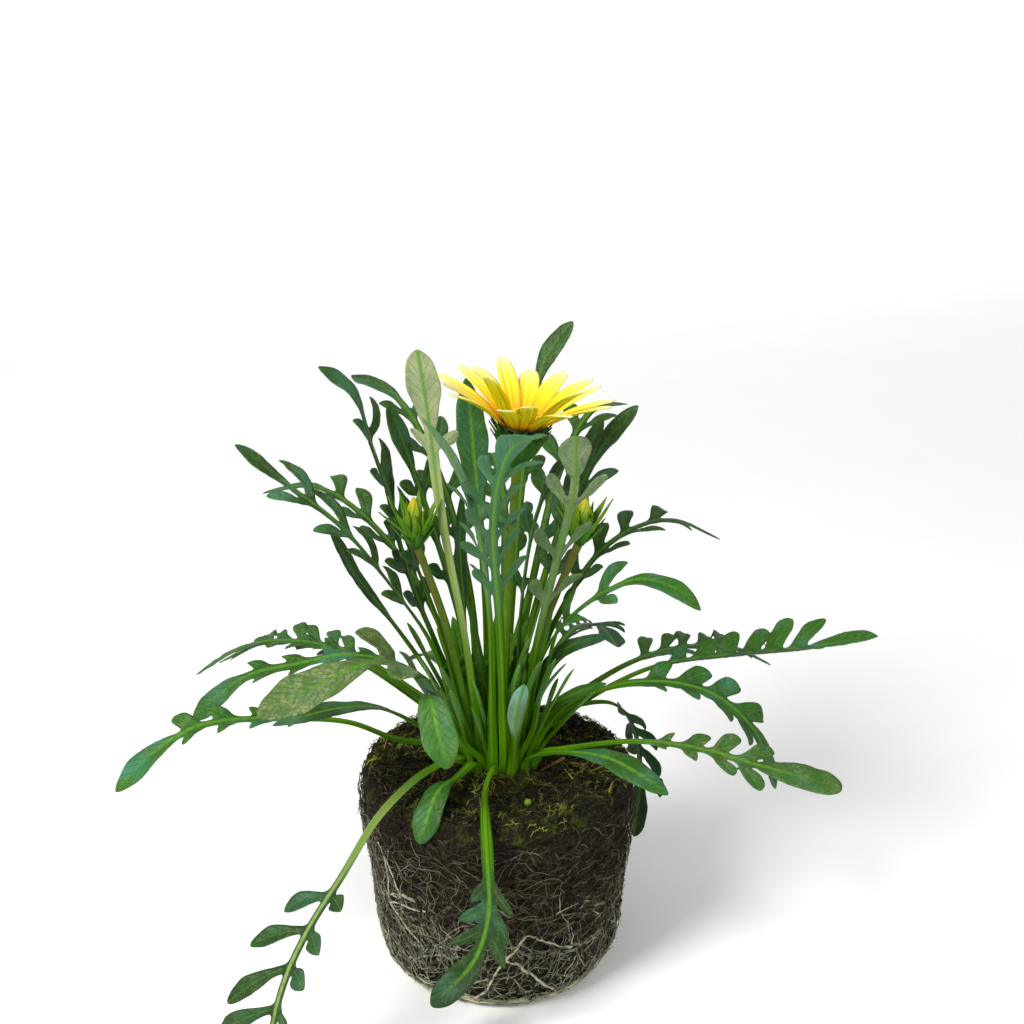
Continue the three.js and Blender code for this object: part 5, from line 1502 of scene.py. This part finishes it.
def add_cup(piece, top, radius, foot, height, place, bracts):
    """A cup of grown-together bracts, closed above, with a soft fold for each bract."""
    rows, sides = 16, 60
    share = np.linspace(-1, 0, rows)
    form = np.interp(share, [-1, -0.6, -0.2, 0], [foot, 0.72 * radius, radius, 0.92 * radius])
    form = np.convolve(np.pad(form, 1, mode="edge"), [0.25, 0.5, 0.25], "valid")
    turns = round_turns(sides)
    folds = 1 + 0.06 * np.abs(np.sin(bracts * turns / 2)) * ease(share[:, None], -1, -0.3)
    reach = form[:, None] * folds
    level = np.broadcast_to(top + height * share[:, None], reach.shape)
    wall = np.stack([reach * np.cos(turns), reach * np.sin(turns), level], -1)
    rim = [wall[-1] * [0.8, 0.8, 1], wall[-1] * [0, 0, 1] - [0, 0, 0.5]]
    base = [wall[0] * [0, 0, 1]]
    net = np.stack([*base, *wall, *rim])
    flat = np.stack(np.meshgrid(np.arange(len(net)), turns * radius, indexing="ij"), -1).reshape(-1, 2)
    flat = np.column_stack([flat, 0 * flat[:, 0]])
    faces = weave(len(net), sides, True)[:, ::-1]
    piece.add(place(net.reshape(-1, 3)), faces, flat=flat, tone=0.2, blush=0)


def add_bract(piece, turn, rows, thick, place, tone):
    """A narrow pointed bract through rows of (reach, height, half width)."""
    spine = Route([(r, z, 0) for r, z, _ in rows])
    steps, columns = 12, 5
    share = np.linspace(0, 1, steps)
    line = spine.at(share * spine.length)[0][:, :2]
    half = np.maximum(np.interp(share, np.linspace(0, 1, len(rows)), [w for *_, w in rows]), 0.08)
    sway = dice.uniform(-0.8, 0.8)
    points, faces = shell(*petal_nets(turn, line, half, 0.3 * half, thick, columns, sway=sway))
    across = np.tile(np.linspace(-1, 1, columns), steps) * 0.8
    flat = np.column_stack([np.repeat(share * 9, columns), across, 0 * across])
    tone = tone + dice.uniform(-0.1, 0.1)
    piece.add(place(points), faces, flat=np.tile(flat, (2, 1)), tone=tone, blush=0)


# %% The flower's stalk and cup
CUP_TOP = -1.5
CUP_BRACTS = 51
stalk = Piece("flower_stem", "stalk", [STALK_GREEN])
ring, turn, way = HEAD_STALKS["flower"]
head_foot = lean_head(np.array([0, 0, CUP_TOP - 11]))
add_stalk(stalk, [*foot_of(ring, turn), *way, head_foot], 1.5, 0.6, 0.5)
add_cup(stalk, CUP_TOP, 8, 1.7, 13, lean_head, RAYS)
for bract in range(CUP_BRACTS):
    turn, row = 2 * math.pi * (bract + 0.5) / CUP_BRACTS, bract % 3
    z, reach = CUP_TOP - (0.4, 2.2, 4.4)[row], (7.6, 7.4, 6.8)[row]
    longer = dice.uniform(0.85, 1.2)
    rows = [(reach - 1.6, z - 3, 1.0), (reach - 0.2, z - 0.6, 1.2),
            (reach + 1.2 * longer, z + 1.4 * longer, 0.8), (reach + 3.1 * longer, z + 4.0 * longer, 0.1)]
    add_bract(stalk, turn, rows, 0.2, lean_head, 0.1)
stalk.make(replaces="flower_stalk")

# %% The buds


def bud(name, at, axis, tall):
    """A bud tall millimetres high, whose cup's rim is at a point and leans along an axis."""
    ring, turn, way = HEAD_STALKS[name]
    axis = unit(np.array(axis, float))
    swing = np.cross([0, 0, 1], axis)

    def place(points):
        """Tips an upright bud onto its axis, which leans only a little."""
        points = np.atleast_2d(points)
        tipped = points + np.cross(swing, points)
        far, too_far = np.linalg.norm(points, axis=1), np.linalg.norm(tipped, axis=1)
        return tipped * (far / np.maximum(too_far, 1e-9))[:, None] + at

    stem = Piece(name + "_stem", "stalk", [STALK_GREEN])
    add_stalk(stem, [*foot_of(ring, turn), *way, place([0, 0, -5])[0]], 1.4, 0.6, 0.85)
    add_cup(stem, 0, 4.4, 1.5, 6.5, place, 9)
    for bract in range(9):
        around = 2 * math.pi * bract / 9
        length = 12 * (0.8 if bract % 2 else 1) * dice.uniform(0.95, 1.08)
        spread = (0.66 if bract % 2 else 0.4) * dice.uniform(0.85, 1.1)
        rows = [(3.2, -3.6, 1.5), (4.6, 0.3, 1.6), (4.8 + spread * length * 0.5, 0.45 * length, 1.15),
                (4.8 + spread * length, 0.88 * length, 0.08)]
        add_bract(stem, around, rows, 0.24, place, 0.65)
    for bract in range(7):
        long = dice.uniform(0.55, 0.85) * tall
        rows = [(3.8, -1.5, 1.5), (3.8, 0.35 * long, 1.45), (3.5, 0.7 * long, 1.0), (3.6, long, 0.08)]
        add_bract(stem, 2 * math.pi * (bract + 0.5) / 7, rows, 0.22, place, 0.75)
    for bract in range(8):
        rows = [(2.6, -4.8, 0.9), (4.4, -2.6, 0.9), (6.4, 0.2, 0.7), (8.2, 2.8, 0.08)]
        add_bract(stem, 2 * math.pi * (bract + 0.3) / 8, rows, 0.2, place, 0.4)
    stem.make(replaces=name)

    sides, rows = 72, 34
    turns = round_turns(sides)
    share = np.linspace(0, 1, rows)[:, None]
    height = 0.3 + share * (tall - 0.3)
    shares, radii = (0, 0.22, 0.5, 0.78, 0.93, 1), (2.6, 3.3, 2.7, 1.45, 0.6, 0.06)
    radius = np.interp(share * np.ones_like(turns), shares, radii)
    spiral = (turns * 7 / (2 * np.pi) - 0.17 * height) % 1
    radius = radius * (1 + 0.2 * (spiral**1.4 - 0.4))
    level = np.broadcast_to(height, radius.shape)
    roll = np.stack([radius * np.cos(turns), radius * np.sin(turns), level], -1)
    net = np.concatenate([roll[:1] * [0, 0, 1], roll, roll[-1:] * [0, 0, 1]])
    rolled = Piece(name + "_roll", "bud_petal", [BUD_PETAL])
    stored = np.concatenate([spiral[:1], spiral, spiral[-1:]]).reshape(-1)
    along = np.repeat(np.concatenate([[0], share[:, 0], [1]]), sides)
    flat = np.column_stack([along * tall, stored * 3, 0 * stored])
    faces = weave(rows + 2, sides, True)[:, ::-1]
    rolled.add(place(net.reshape(-1, 3)), faces, along=along, flat=flat)
    rolled.make(replaces=name + "_petals")


bud("bud_left", (-27, -12, 171), (-0.04, -0.04, 1), 12)
bud("bud_right", (28.5, 0, 167), (0.1, -0.04, 1), 11)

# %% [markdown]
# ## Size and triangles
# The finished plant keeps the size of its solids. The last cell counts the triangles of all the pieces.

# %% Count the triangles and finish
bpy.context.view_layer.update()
print("triangles:", sum(made.values()), "largest", max(made, key=made.get), max(made.values()))
